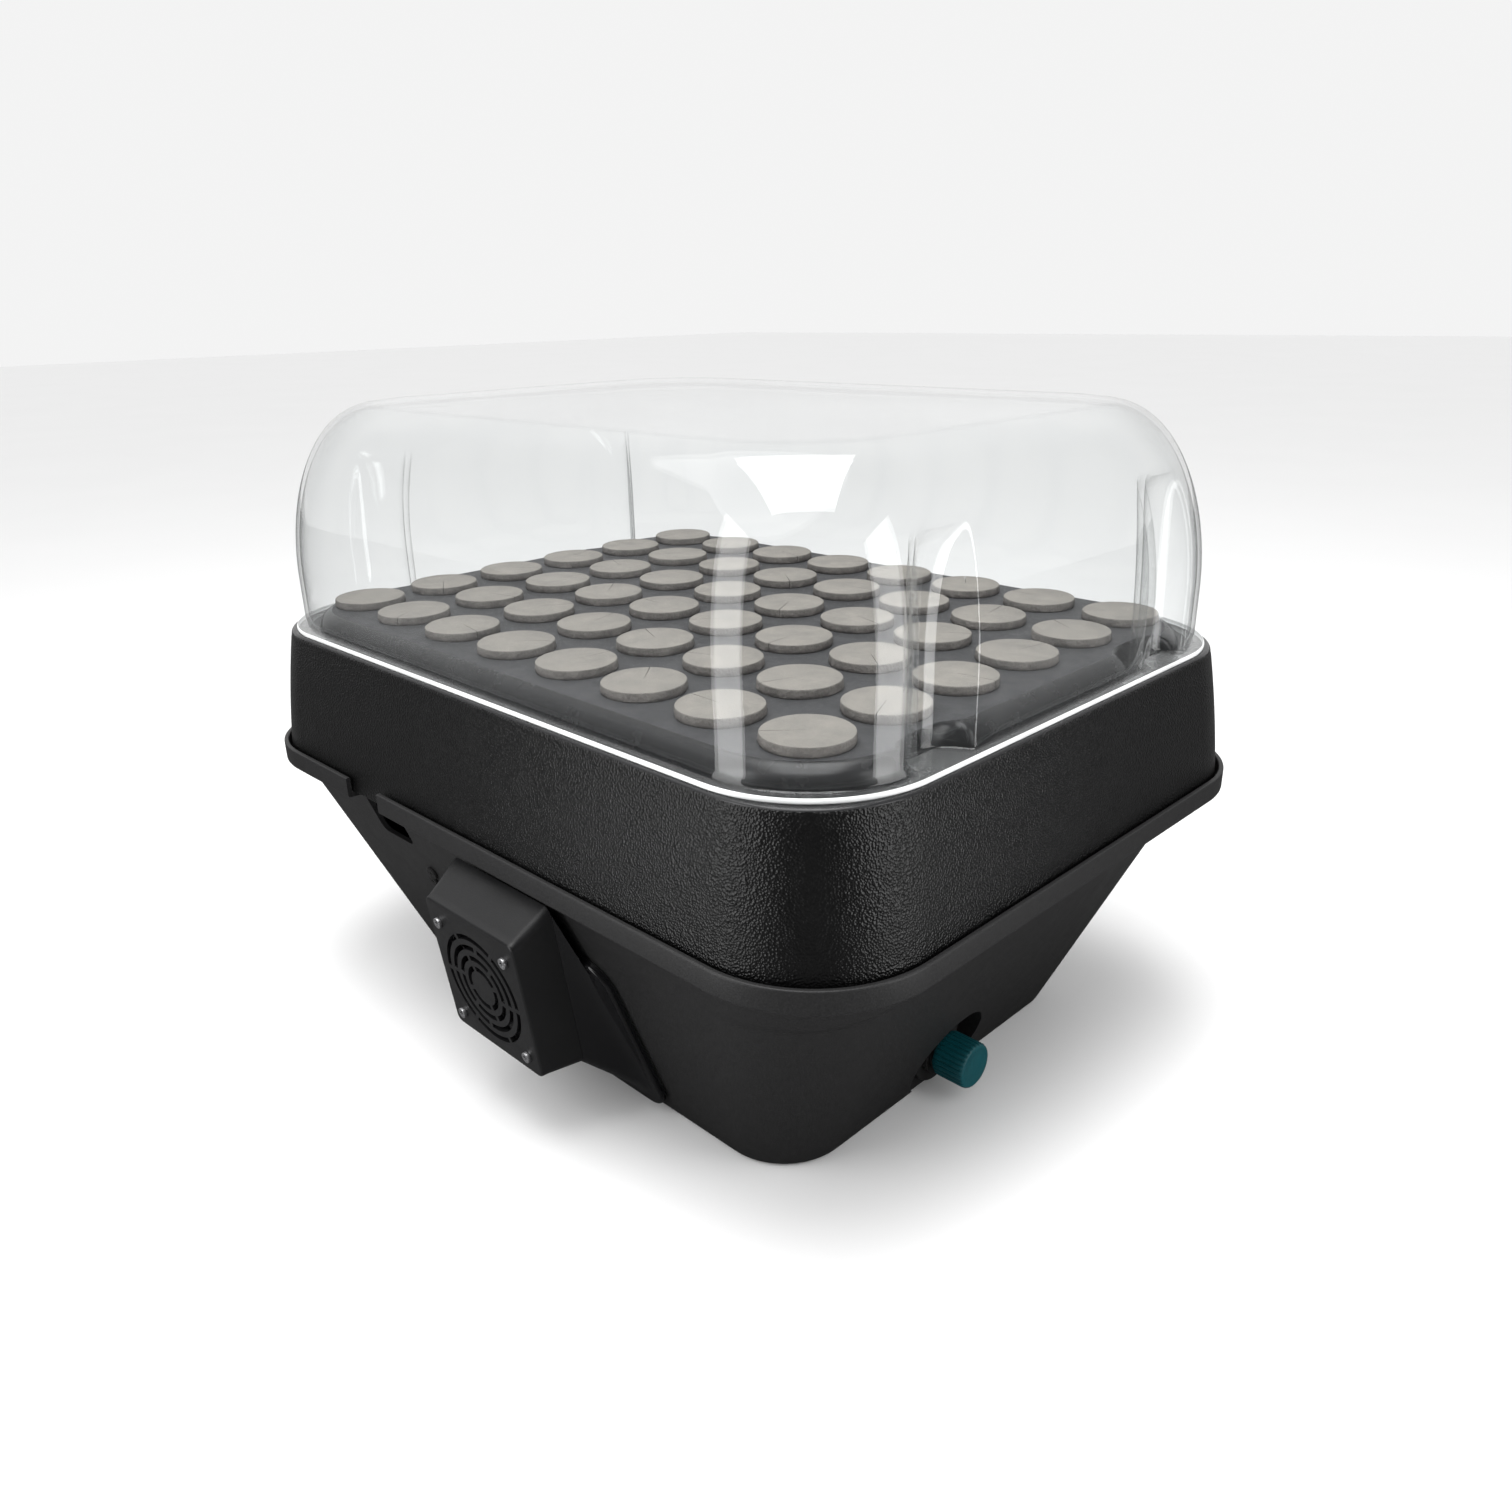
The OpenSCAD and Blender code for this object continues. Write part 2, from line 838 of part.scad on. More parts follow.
module pump_strainer() {
    length = strainer_front_x - pump_front_x;
    slot_len = pump_w - 18;
    color([0.06, 0.06, 0.07])
        difference() {
            translate([pump_front_x + length / 2, 0, pump_floor_z])
                linear_extrude(pump_top_z - pump_floor_z - 4)
                    rounded(length, pump_w - 2, 6);
            translate([pump_front_x - cut, -pump_w / 2 + 4, pump_floor_z + 3])
                cube([length - 2, pump_w - 8, pump_top_z - pump_floor_z - 10]);
            for (k = [0 : 6])
                translate([strainer_front_x - 4, -slot_len / 2, pump_floor_z + 8 + 6.4 * k])
                    cube([8, slot_len, 3]);
        }
    color([0.06, 0.06, 0.07])
        at_pump()
            difference() {
                rod_x(5, pump_front_x + 8, strainer_front_x - 2);
                rod_x(pump_shaft_r - 0.02, pump_front_x, pump_front_x + 14);
            }
}

module pump_shaft() {
    color([0.9, 0.9, 0.88])
        at_pump()
            rod_x(pump_shaft_r - 0.02, -67, pump_front_x + 13);
}

module pump_impeller() {
    vane_count = 6;
    color([0.85, 0.85, 0.82])
        at_pump()
            difference() {
                union() {
                    rod_x(rotor_well_r - 0.9, -58, -9);
                    rod_x(chamber_r - 4, -9, -6);
                    intersection() {
                        rod_x(chamber_r - 4, -7, 9);
                        for (k = [0 : vane_count - 1])
                            rotate([360 * k / vane_count, 0, 0])
                                translate([-7, -1, 0])
                                    cube([16, 2, chamber_r]);
                    }
                    rod_x(5, -7, 10);
                }
                rod_x(pump_shaft_r - 0.02 + shaft_play, -60, 12);
            }
}

module pump_feet() {
    color([0.15, 0.15, 0.15])
        for (x = [pump_back_x + 14, strainer_front_x - 14], y = [-20, 20])
            translate([x, y, tub_wall + 0.1])
                rotate_extrude()
                    polygon([
                        [0, 4], [9, 1.5], [12.5, 0], [13, 0.8], [7, 6],
                        [4, 8], [4, pump_floor_z - tub_wall - 0.2], [0, pump_floor_z - tub_wall - 0.2]
                    ]);
}

module pump_cord_gland() {
    color([0.05, 0.05, 0.05])
        translate([0, 0, pump_top_z - 16])
            union() {
                rod_x(7, pump_back_x - 6, pump_back_x - 0.1);
                rod_x(4.5, pump_back_x - 16, pump_back_x - 5);
            }
}

module pump_outlet_adaptor() {
    color([0.08, 0.08, 0.08])
        difference() {
            union() {
                translate([0, 0, pump_top_z + 0.1])
                    cylinder(r = 17, h = 7, $fn = 6);
                translate([0, 0, pump_top_z + 7])
                    cylinder(r = fitting_r, h = 18);
            }
            translate([0, 0, pump_top_z - cut])
                cylinder(r = pipe_r - pipe_wall, h = 30);
            translate([0, 0, pump_top_z + 9])
                cylinder(r = pipe_r + 0.1, h = 30);
        }
}

// ---- Manifold ----

// Water pipe along +X
module pipe_x(from, to) {
    tube_x(pipe_r, pipe_r - pipe_wall, from, to);
}

// Fitting with arms along the given turns about Z, and one arm down if asked
module fitting(turns, down) {
    difference() {
        union() {
            for (turn = turns)
                rotate(turn)
                    rod_x(fitting_r, 0, fitting_reach);
            sphere(r = fitting_r);
            if (down)
                translate([0, 0, -fitting_reach])
                    cylinder(r = fitting_r, h = fitting_reach);
        }
        for (turn = turns)
            rotate(turn) {
                rod_x(pipe_r - pipe_wall, 0, fitting_reach + cut);
                rod_x(pipe_r + 0.1, socket_start, fitting_reach + cut);
            }
        if (down) {
            translate([0, 0, -fitting_reach - cut])
                cylinder(r = pipe_r - pipe_wall, h = fitting_reach + cut);
            translate([0, 0, -fitting_reach - cut])
                cylinder(r = pipe_r + 0.1, h = fitting_reach + cut - socket_start);
        }
    }
}

module riser_pipe() {
    from = pump_top_z + 9.1;
    to = bar_z - socket_start - 0.1;
    color([0.88, 0.88, 0.86])
        difference() {
            translate([0, 0, from])
                cylinder(r = pipe_r, h = to - from);
            translate([0, 0, from - cut])
                cylinder(r = pipe_r - pipe_wall, h = to - from + 2 * cut);
        }
}

module manifold_hub() {
    color([0.9, 0.9, 0.88])
        translate([0, 0, bar_z])
            fitting([0, 90, 180, 270], true);
}

module cross_pipes() {
    from = socket_start + 0.1;
    color([0.88, 0.88, 0.86])
        for (turn = [90, 270])
            translate([0, 0, bar_z])
                rotate(turn)
                    pipe_x(from, bar_y - from);
}

module manifold_tees() {
    color([0.9, 0.9, 0.88])
        for (side = [-1, 1])
            translate([0, side * bar_y, bar_z])
                fitting([0, 180, -90 * side], false);
}

module spray_bars() {
    color([0.88, 0.88, 0.86])
        for (y = [-bar_y, 0, bar_y], turn = [0, 180])
            translate([0, y, bar_z])
                rotate(turn)
                    difference() {
                        pipe_x(socket_start + 0.1, bar_end - 3);
                        for (x = nozzle_x)
                            translate([x, 0, 0])
                                cylinder(r = nozzle_stub_r + 0.1, h = fitting_r);
                    }
}

module bar_end_caps() {
    color([0.9, 0.9, 0.88])
        for (y = [-bar_y, 0, bar_y], turn = [0, 180])
            translate([0, y, bar_z])
                rotate(turn)
                    difference() {
                        rod_x(fitting_r - 0.5, bar_end - 16, bar_end);
                        rod_x(pipe_r + 0.1, bar_end - 16 - cut, bar_end - 2.8);
                    }
}

module spray_nozzles() {
    seat = sqrt(pipe_r * pipe_r - 4 * 4) + 1.6;
    color([0.1, 0.1, 0.1])
        for (y = [-bar_y, 0, bar_y], side = [-1, 1], x = nozzle_x)
            translate([side * x, y, bar_z])
                difference() {
                    union() {
                        translate([0, 0, pipe_r - pipe_wall])
                            cylinder(r = nozzle_stub_r, h = 6);
                        translate([0, 0, seat])
                            cylinder(r = 5.2, h = 4, $fn = 6);
                        translate([0, 0, seat + 4])
                            cylinder(r = 3.8, h = 7);
                    }
                    translate([0, 0, pipe_r - pipe_wall - cut])
                        cylinder(r = 1.2, h = seat + 6);
                    translate([-5, -0.7, seat + 8.5])
                        cube([10, 1.4, 5]);
                }
}

reservoir();
lid();
dome();
collars_row(0);  // collars_row_a
collars_row(1);  // collars_row_b
collars_row(2);  // collars_row_c
collars_row(3);  // collars_row_d
collars_row(4);  // collars_row_e
collars_row(5);  // collars_row_f
fan_cover();
fan_cover_screws();
fan_frame();
fan_motor();
fan_rotor();
air_duct();
duct_gasket();
lead_grommets();
drain_fitting();
drain_gasket();
drain_locknut();
drain_cap();
drain_cap_washer();
pump_housing();
pump_strainer();
pump_shaft();
pump_impeller();
pump_feet();
pump_cord_gland();
pump_outlet_adaptor();
riser_pipe();
manifold_hub();
cross_pipes();
manifold_tees();
spray_bars();
bar_end_caps();
spray_nozzles();
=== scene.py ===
import math

import bpy
from mathutils import Matrix, Vector, noise


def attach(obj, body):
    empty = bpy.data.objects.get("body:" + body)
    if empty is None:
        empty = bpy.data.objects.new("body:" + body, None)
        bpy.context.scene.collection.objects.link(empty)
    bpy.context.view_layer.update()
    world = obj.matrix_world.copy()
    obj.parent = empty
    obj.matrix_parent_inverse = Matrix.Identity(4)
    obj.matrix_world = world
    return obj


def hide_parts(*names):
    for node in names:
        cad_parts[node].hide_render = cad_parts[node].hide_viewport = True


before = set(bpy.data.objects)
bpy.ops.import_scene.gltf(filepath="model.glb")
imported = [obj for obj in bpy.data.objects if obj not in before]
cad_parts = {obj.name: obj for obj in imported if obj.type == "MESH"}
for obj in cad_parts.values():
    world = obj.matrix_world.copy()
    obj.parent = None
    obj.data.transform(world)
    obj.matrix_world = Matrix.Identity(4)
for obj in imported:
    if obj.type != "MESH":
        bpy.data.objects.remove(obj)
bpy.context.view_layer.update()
scene = bpy.context.scene

MM = 0.001
CAMERA_AZIMUTH = math.radians(44.95)

# ---- The object's sizes, in millimetres, as in the CAD source ----
LENGTH_LESS_WIDTH = 66.5
LID_TOP_Z = 297.0
LID_TOP_HALF = 258
SEAT_Z = 284.7
FLANGE_Z = 285.0
FLANGE_T = 3.0
DOME_HALF = 278.5
FLANGE_HALF = 284.5
DOME_CORNER = 75.0
DOME_WALL = 2.5
DOME_SHOULDER_Z = 323.0
DOME_RUN = 52.0
DOME_RISE = 120.0
FLUTE_DEPTH = 20.0
FLUTE_FADE_Z = 330.0
FLUTE_TOP_Z = 402.0
FLUTE_PLACE = 0.555
FLUTE_HALF = 0.104
FLUTE_LIP = 0.9
FLUTE_REACH = 1.14
RIM_Z = 184.0
RIM_TOP_Z = 198.8
RIM_HALF = 301.8
RIM_SIDE = 235.3
RIM_CORNER = 79.0
RIM_WALL = 3.3
LEDGE_Z = 187.5
PITCH = 63.5
COLLAR_ROWS = 6
COLLAR_COLUMNS = 8
TUB_FOOT_Z = 4
TUB_HALF = 204
TUB_SIDE = 158
END_LEAN = 0.475
WALL_LEAN = 0.365
WALL_ANGLE = math.atan(WALL_LEAN)
FAN_X = 27.6
FAN_AT = (FAN_X, -246.2, 107.7)
FAN_TILT = math.radians(7.4)
SCREW_PITCH = 71.5
COVER_DEPTH = 28.0
DRAIN_Y = -12
DRAIN_Z = 29


def front_y(z):
    """Distance of the front and back walls from the middle, which grows with height."""
    return TUB_SIDE + WALL_LEAN * (z - TUB_FOOT_Z)


def smooth_step(t):
    t = max(0.0, min(1.0, t))
    return t * t * (3 - 2 * t)


# ---- Building meshes ----


def piece(name, verts, faces, look, body, slot, replaces=(), sharp=32, marks=None):
    """A mesh piece from points in millimetres. marks gives each face's material number."""
    mesh = bpy.data.meshes.new(name)
    mesh.from_pydata([Vector(v) * MM for v in verts], [], faces)
    looks = look if isinstance(look, (list, tuple)) else [look]
    for m in looks:
        mesh.materials.append(m)
    if marks:
        for face, mark in zip(mesh.polygons, marks):
            face.material_index = mark
    mesh.validate()
    obj = bpy.data.objects.new(name, mesh)
    scene.collection.objects.link(obj)
    finish_normals(obj, sharp)
    if body:
        settle(obj, body, replaces)
    return obj


def finish_normals(obj, sharp):
    obj.data.shade_smooth()
    obj.data.set_sharp_from_angle(angle=math.radians(sharp))


def settle(obj, body, replaces):
    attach(obj, body)
    if replaces:
        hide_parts(*replaces)


def cut_with(obj, cutter, operation="DIFFERENCE"):
    """Applies one exact Boolean and removes the cutter."""
    mod = obj.modifiers.new("cut", "BOOLEAN")
    mod.operation = operation
    mod.solver = "EXACT"
    mod.object = cutter
    apply_modifiers(obj)
    bpy.data.objects.remove(cutter, do_unlink=True)


def apply_modifiers(obj):
    graph = bpy.context.evaluated_depsgraph_get()
    graph.update()
    mesh = bpy.data.meshes.new_from_object(obj.evaluated_get(graph))
    obj.modifiers.clear()
    obj.data = mesh


def loft(rings, closed=False, caps=(True, True)):
    """Quads through rings of equal length. closed joins the last ring to the first."""
    n = len(rings[0])
    verts = [p for r in rings for p in r]
    faces = []
    steps = len(rings) if closed else len(rings) - 1
    for i in range(steps):
        a, b = i * n, ((i + 1) % len(rings)) * n
        faces += [(a + k, a + (k + 1) % n, b + (k + 1) % n, b + k) for k in range(n)]
    if not closed:
        if caps[0]:
            faces.append(tuple(range(n - 1, -1, -1)))
        if caps[1]:
            faces.append(tuple((len(rings) - 1) * n + k for k in range(n)))
    return verts, faces


def join(*parts):
    """One list of points and faces from several."""
    verts, faces = [], []
    for v, f in parts:
        base = len(verts)
        verts += v
        faces += [tuple(i + base for i in face) for face in f]
    return verts, faces


def turned(part, matrix):
    verts, faces = part
    return [tuple(matrix @ Vector(v)) for v in verts], faces


def circle(r, n=64):
    return [(r * math.cos(math.tau * k / n), r * math.sin(math.tau * k / n)) for k in range(n)]


def lathe(profile, n=96):
    """Solid of revolution about +Z from (r, z) pairs, first and last capped."""
    return loft([[(x, y, z) for x, y in circle(r, n)] for r, z in profile])


def rounded(w, h, r, n=10, straight=6):
    """Counter-clockwise rounded rectangle, with points along the sides too."""
    points = []
    corners = ((w / 2 - r, -h / 2 + r, -90), (w / 2 - r, h / 2 - r, 0),
               (-w / 2 + r, h / 2 - r, 90), (-w / 2 + r, -h / 2 + r, 180))
    for i, (cx, cy, start) in enumerate(corners):
        for k in range(n + 1):
            a = math.radians(start + 90 * k / n)
            points.append((cx + r * math.cos(a), cy + r * math.sin(a)))
        nx, ny, turn = corners[(i + 1) % 4]
        a = math.radians(turn)
        last, following = points[-1], (nx + r * math.cos(a), ny + r * math.sin(a))
        for k in range(1, straight):
            t = k / straight
            points.append((last[0] + (following[0] - last[0]) * t,
                           last[1] + (following[1] - last[1]) * t))
    return points


def fillet(a0, a1, n):
    """Angles in radians from a0 to a1 degrees."""
    return [math.radians(a0 + (a1 - a0) * k / n) for k in range(n + 1)]


# ---- Outlines of the shells ----
FLUTE_STEPS = (-1.14, -1.09, -1.04, -0.99, -0.95, -0.9, -0.82, -0.7, -0.55, -0.37, -0.18, 0.0,
               0.18, 0.37, 0.55, 0.7, 0.82, 0.9, 0.95, 0.99, 1.04, 1.09, 1.14)
CORNER_STEPS = 22


def flute_shape(t):
    """Depth of a half-round flute across its width, with eased lips."""
    t = abs(t)
    if t <= FLUTE_LIP:
        return math.sqrt(1 - t * t)
    u = (t - FLUTE_LIP) / (FLUTE_REACH - FLUTE_LIP)
    if u >= 1:
        return 0.0
    start = math.sqrt(1 - FLUTE_LIP**2)
    slope = -FLUTE_LIP / start * (FLUTE_REACH - FLUTE_LIP)
    return max(0.0, start * (2 * u**3 - 3 * u**2 + 1) + slope * (u**3 - 2 * u**2 + u))


def fluted(half, corner, z, flute=0.0, spare=0.0):
    """One level of the lid or dome: a rounded rectangle with two flutes in each end wall."""
    side = half - LENGTH_LESS_WIDTH
    width = FLUTE_HALF * side + spare
    reach = FLUTE_PLACE * side + FLUTE_REACH * width
    start = math.degrees(math.asin(max(0.0, min(1.0, (reach - side + corner) / corner))))

    def end(y):
        past = max(0.0, abs(y) - (side - corner))
        return half - corner + math.sqrt(max(0.0, corner**2 - past**2))

    points = []
    for way in (1, -1):
        for place in (-way, way):
            for t in FLUTE_STEPS:
                y = place * FLUTE_PLACE * side + way * width * t
                points.append((way * (end(y) - flute * flute_shape(t)), y, z))
            if place == -way:
                gap = FLUTE_PLACE * side - FLUTE_REACH * width
                for k in range(1, 10):
                    y = way * gap * (k / 5 - 1)
                    points.append((way * end(y), y, z))
        first = 0 if way == 1 else 180
        for quarter in (0, 1):
            cx = (half - corner) * (way if quarter == 0 else -way)
            cy = (side - corner) * way
            begin = first + (start if quarter == 0 else 90)
            sweep = 90 - start
            for k in range(0 if quarter else 1, CORNER_STEPS + (0 if quarter else 1)):
                a = math.radians(begin + sweep * k / CORNER_STEPS)
                points.append((cx + corner * math.cos(a), cy + corner * math.sin(a), z))
            if quarter == 0:
                for k in range(1, 14):
                    x = cx * (1 - 2 * k / 14)
                    points.append((x, cy + corner * way, z))
    return points


def plain(left, right, side, corner, z):
    """One level of the tub: a rounded rectangle whose two ends lie at their own distances."""
    points = []
    for quarter in range(4):
        cx = right - corner if quarter in (0, 3) else corner - left
        cy = (side - corner) * (1 if quarter < 2 else -1)
        for k in range(CORNER_STEPS + 1):
            a = math.radians(90 * (quarter + k / CORNER_STEPS))
            points.append((cx + corner * math.cos(a), cy + corner * math.sin(a), z))
        nx = right - corner if (quarter + 1) % 4 in (0, 3) else corner - left
        ny = (side - corner) * (1 if (quarter + 1) % 4 < 2 else -1)
        a = math.radians(90 * (quarter + 1))
        last, following = points[-1], (nx + corner * math.cos(a), ny + corner * math.sin(a))
        steps = 12 if quarter in (0, 2) else 10
        for k in range(1, steps):
            t = k / steps
            points.append((last[0] + (following[0] - last[0]) * t,
                           last[1] + (following[1] - last[1]) * t, z))
    return points


# ---- Materials ----


class Look:
    """Builds one node material round a Principled shader."""

    def __init__(self, name, colour, roughness, metallic=0.0, specular=0.5, coat=0.0):
        self.material = bpy.data.materials.new(name)
        self.material.use_nodes = True
        self.tree = self.material.node_tree
        self.shader = next(n for n in self.tree.nodes if n.type == "BSDF_PRINCIPLED")
        self.output = next(n for n in self.tree.nodes if n.type == "OUTPUT_MATERIAL")
        self.shader.inputs["Base Color"].default_value = (*colour, 1)
        self.shader.inputs["Roughness"].default_value = roughness
        self.shader.inputs["Metallic"].default_value = metallic
        self.shader.inputs["Specular IOR Level"].default_value = specular
        self.shader.inputs["Coat Weight"].default_value = coat
        self.shader.inputs["Coat Roughness"].default_value = 0.12
        self.colour = colour
        self.roughness = roughness
        self.where = self.node("ShaderNodeTexCoord").outputs["Object"]
        self.height = None

    def node(self, kind, **values):
        made = self.tree.nodes.new(kind)
        for key, value in values.items():
            if key in made.inputs:
                made.inputs[key].default_value = value
            else:
                setattr(made, key, value)
        return made

    def link(self, a, b):
        self.tree.links.new(a, b)

    def stretched(self, scale):
        """Coordinates scaled per axis, for brushed or drawn grain."""
        made = self.node("ShaderNodeMapping")
        made.inputs["Scale"].default_value = scale
        self.link(self.where, made.inputs["Vector"])
        return made.outputs[0]

    def noise(self, scale, detail=3.0, rough=0.5, where=None, distortion=0.0):
        made = self.node("ShaderNodeTexNoise")
        made.inputs["Scale"].default_value = scale
        made.inputs["Detail"].default_value = detail
        made.inputs["Roughness"].default_value = rough
        made.inputs["Distortion"].default_value = distortion
        self.link(where or self.where, made.inputs["Vector"])
        return made.outputs["Fac"]

    def cells(self, scale, smooth=0.6):
        """Rounded pebbles from a smooth Voronoi pattern."""
        made = self.node("ShaderNodeTexVoronoi")
        made.feature = "SMOOTH_F1"
        made.inputs["Scale"].default_value = scale
        made.inputs["Smoothness"].default_value = smooth
        made.inputs["Randomness"].default_value = 1.0
        self.link(self.where, made.inputs["Vector"])
        return made.outputs["Distance"]

    def ramp(self, value, *stops):
        made = self.node("ShaderNodeValToRGB")
        ramp = made.color_ramp
        while len(ramp.elements) < len(stops):
            ramp.elements.new(0.5)
        for element, (place, colour) in zip(ramp.elements, stops):
            element.position = place
            element.color = (*colour, 1)
        self.link(value, made.inputs["Fac"])
        return made.outputs["Color"]

    def maths(self, operation, a, b=None):
        made = self.node("ShaderNodeMath")
        made.operation = operation
        for socket, value in zip(made.inputs, (a, b)):
            if value is None:
                continue
            if isinstance(value, (int, float)):
                socket.default_value = value
            else:
                self.link(value, socket)
        return made.outputs[0]

    def span(self, value, low, high, to_low=0.0, to_high=1.0):
        made = self.node("ShaderNodeMapRange")
        made.interpolation_type = "SMOOTHSTEP"
        limits = {"From Min": low, "From Max": high, "To Min": to_low, "To Max": to_high}
        for name, number in limits.items():
            made.inputs[name].default_value = number
        self.link(value, made.inputs["Value"])
        return made.outputs[0]

    def tint(self, value, amount, warm=(1, 1, 1)):
        """Varies the base colour by a share of itself, darker to lighter."""
        low = tuple(c * (1 - amount) for c in self.colour)
        high = tuple(min(1.0, c * (1 + amount) * w) for c, w in zip(self.colour, warm))
        self.link(self.ramp(value, (0.3, low), (0.7, high)), self.shader.inputs["Base Color"])

    def vary_roughness(self, value, amount):
        low, high = max(0.02, self.roughness - amount), min(1.0, self.roughness + amount)
        self.link(self.span(value, 0.3, 0.7, low, high), self.shader.inputs["Roughness"])

    def bump(self, value, distance, strength=1.0):
        """Adds one layer of relief, distance in metres."""
        made = self.node("ShaderNodeBump")
        made.inputs["Distance"].default_value = distance
        made.inputs["Strength"].default_value = strength
        self.link(value, made.inputs["Height"])
        if self.height is not None:
            self.link(self.height, made.inputs["Normal"])
        self.height = made.outputs["Normal"]
        self.link(self.height, self.shader.inputs["Normal"])


def moulded(name, colour, roughness, grain=700, relief=0.00006, **more):
    """Plain moulded plastic with a fine skin, faint flow marks and handling variation."""
    look = Look(name, colour, roughness, **more)
    look.tint(look.noise(14, 4), 0.14)
    look.vary_roughness(look.noise(42, 4, 0.6), 0.07)
    look.bump(look.noise(grain, 3, 0.55), relief, 0.7)
    look.bump(look.noise(30, 2), 0.0004, 0.12)
    return look.material


def tub_look():
    """Matt charcoal plastic with a fine sand-blasted skin."""
    look = Look("tub_charcoal", (0.0115, 0.0113, 0.0117), 0.5, specular=0.4)
    look.tint(look.noise(9, 4, 0.6), 0.04)
    look.tint(look.noise(900, 2, 0.6), 0.3)
    look.vary_roughness(look.noise(60, 4, 0.6), 0.03)
    look.bump(look.noise(1100, 3, 0.6), 0.0002, 0.7)
    look.bump(look.cells(620, 0.4), 0.00009, 0.5)
    return look.material


def lid_look():
    """Black plastic pebbled all over, which glints where a light stands behind the viewer."""
    look = Look("lid_pebbled", (0.0012, 0.0012, 0.0013), 0.33, specular=0.4)
    look.tint(look.noise(10, 4, 0.6), 0.1)
    look.vary_roughness(look.noise(50, 4, 0.6), 0.04)
    look.bump(look.cells(780, 0.3), 0.0006, 0.8)
    look.bump(look.noise(1500, 2, 0.5), 0.0001, 0.35)
    return look.material


def lid_top_look():
    """The lid's flat top, matter than its skirt, with a lighter grey base colour that is painted light:
    it stands in for the haze and studio reflections seen on it through the dome.
    """
    look = Look("lid_top_painted_light", (0.045, 0.045, 0.048), 0.6, specular=0.3)
    look.tint(look.noise(40, 5, 0.7), 0.22)
    look.vary_roughness(look.noise(70, 4, 0.6), 0.08)
    look.bump(look.noise(1300, 4, 0.65), 0.0002, 0.6)
    look.bump(look.cells(900, 0.4), 0.00015, 0.35)
    look.bump(look.noise(12, 2), 0.0016, 0.06)
    return look.material


def lid_roll_look():
    """The smoother roll from the lid's top down to the dome's seat."""
    look = Look("lid_roll", (0.016, 0.016, 0.017), 0.24, specular=0.35)
    look.tint(look.noise(18, 4), 0.15)
    look.vary_roughness(look.noise(55, 4, 0.6), 0.05)
    look.bump(look.noise(900, 3, 0.5), 0.00008, 0.4)
    look.bump(look.noise(25, 2), 0.0012, 0.12)
    return look.material


def mix_clear(look, share, surface, see_through):
    """Sends the output a mix of a see-through shader and a lit one by share."""
    clear = look.node("ShaderNodeBsdfTransparent")
    clear.inputs["Color"].default_value = (*see_through, 1)
    mixed = look.node("ShaderNodeMixShader")
    look.link(share, mixed.inputs[0])
    look.link(clear.outputs[0], mixed.inputs[1])
    look.link(surface, mixed.inputs[2])
    look.link(mixed.outputs[0], look.output.inputs["Surface"])


def clear_look():
    """Clear thermoformed sheet: mirrors at grazing angles, faint haze, slow waviness."""
    look = Look("clear_sheet", (0.86, 0.88, 0.88), 0.05, specular=0.5)
    shine = look.node("ShaderNodeBsdfGlossy")
    shine.inputs["Roughness"].default_value = 0.03
    shine.inputs["Color"].default_value = (1, 1, 1, 1)
    facing = look.node("ShaderNodeLayerWeight")
    facing.inputs["Blend"].default_value = 0.5
    grazing = look.maths("POWER", facing.outputs["Facing"], 4.2)
    mirror = look.maths("MULTIPLY_ADD", grazing, 0.8)
    look.tree.nodes[-1].inputs[2].default_value = 0.036
    look.bump(look.noise(9, 2), 0.003, 0.07)
    look.link(look.height, shine.inputs["Normal"])
    haze = look.span(look.noise(6, 5, 0.65), 0.25, 0.8, 0.03, 0.14)
    both = look.node("ShaderNodeMixShader")
    look.link(haze, both.inputs[0])
    look.link(shine.outputs[0], both.inputs[1])
    look.link(look.shader.outputs[0], both.inputs[2])
    mix_clear(look, mirror, both.outputs[0], (0.985, 0.99, 0.99))
    return look.material


def flange_look():
    """Cut edge and flange of the clear sheet, painted a pale white that looks frosted: a painted
    highlight for the light that the edge gathers inside the sheet.
    """
    look = Look("clear_edge_painted_light", (0.93, 0.94, 0.94), 0.28, specular=0.5)
    look.bump(look.noise(220, 3), 0.0001, 0.4)
    share = look.span(look.noise(24, 3), 0.2, 0.8, 0.66, 0.85)
    mix_clear(look, share, look.shader.outputs[0], (0.97, 0.98, 0.98))
    return look.material


def foam_look():
    """Cut face of closed-cell foam."""
    look = Look("collar_foam", (0.235, 0.222, 0.205), 0.92, specular=0.2)
    look.tint(look.noise(60, 5, 0.7), 0.12, (1.0, 0.99, 0.97))
    look.bump(look.cells(900, 0.2), 0.0006, 0.45)
    look.bump(look.noise(1400, 4, 0.7), 0.0003, 0.6)
    look.bump(look.noise(60, 2), 0.0008, 0.25)
    return look.material


def foam_side_look():
    """Rougher die-cut side of the foam, whose darker colour is painted shade: the sides turn away from
    the light above and sink into the lid's holes.
    """
    look = Look("collar_side_painted_shade", (0.14, 0.13, 0.122), 0.95, specular=0.15)
    look.tint(look.noise(90, 5, 0.7), 0.3)
    look.bump(look.noise(900, 4, 0.7), 0.0006, 0.8)
    look.bump(look.cells(500, 0.2), 0.0008, 0.5)
    return look.material


def metal_look(name, colour, roughness, scale):
    look = Look(name, colour, roughness, metallic=1.0)
    look.tint(look.noise(60, 4), 0.1)
    look.vary_roughness(look.noise(300, 3), 0.08)
    look.bump(look.noise(1, 3, where=look.stretched(scale)), 0.00003, 0.5)
    return look.material


def rubber_look(name, colour, roughness=0.75):
    look = Look(name, colour, roughness, specular=0.3)
    look.tint(look.noise(80, 4), 0.25)
    look.vary_roughness(look.noise(200, 3), 0.08)
    look.bump(look.noise(1800, 3), 0.00008, 0.6)
    return look.material


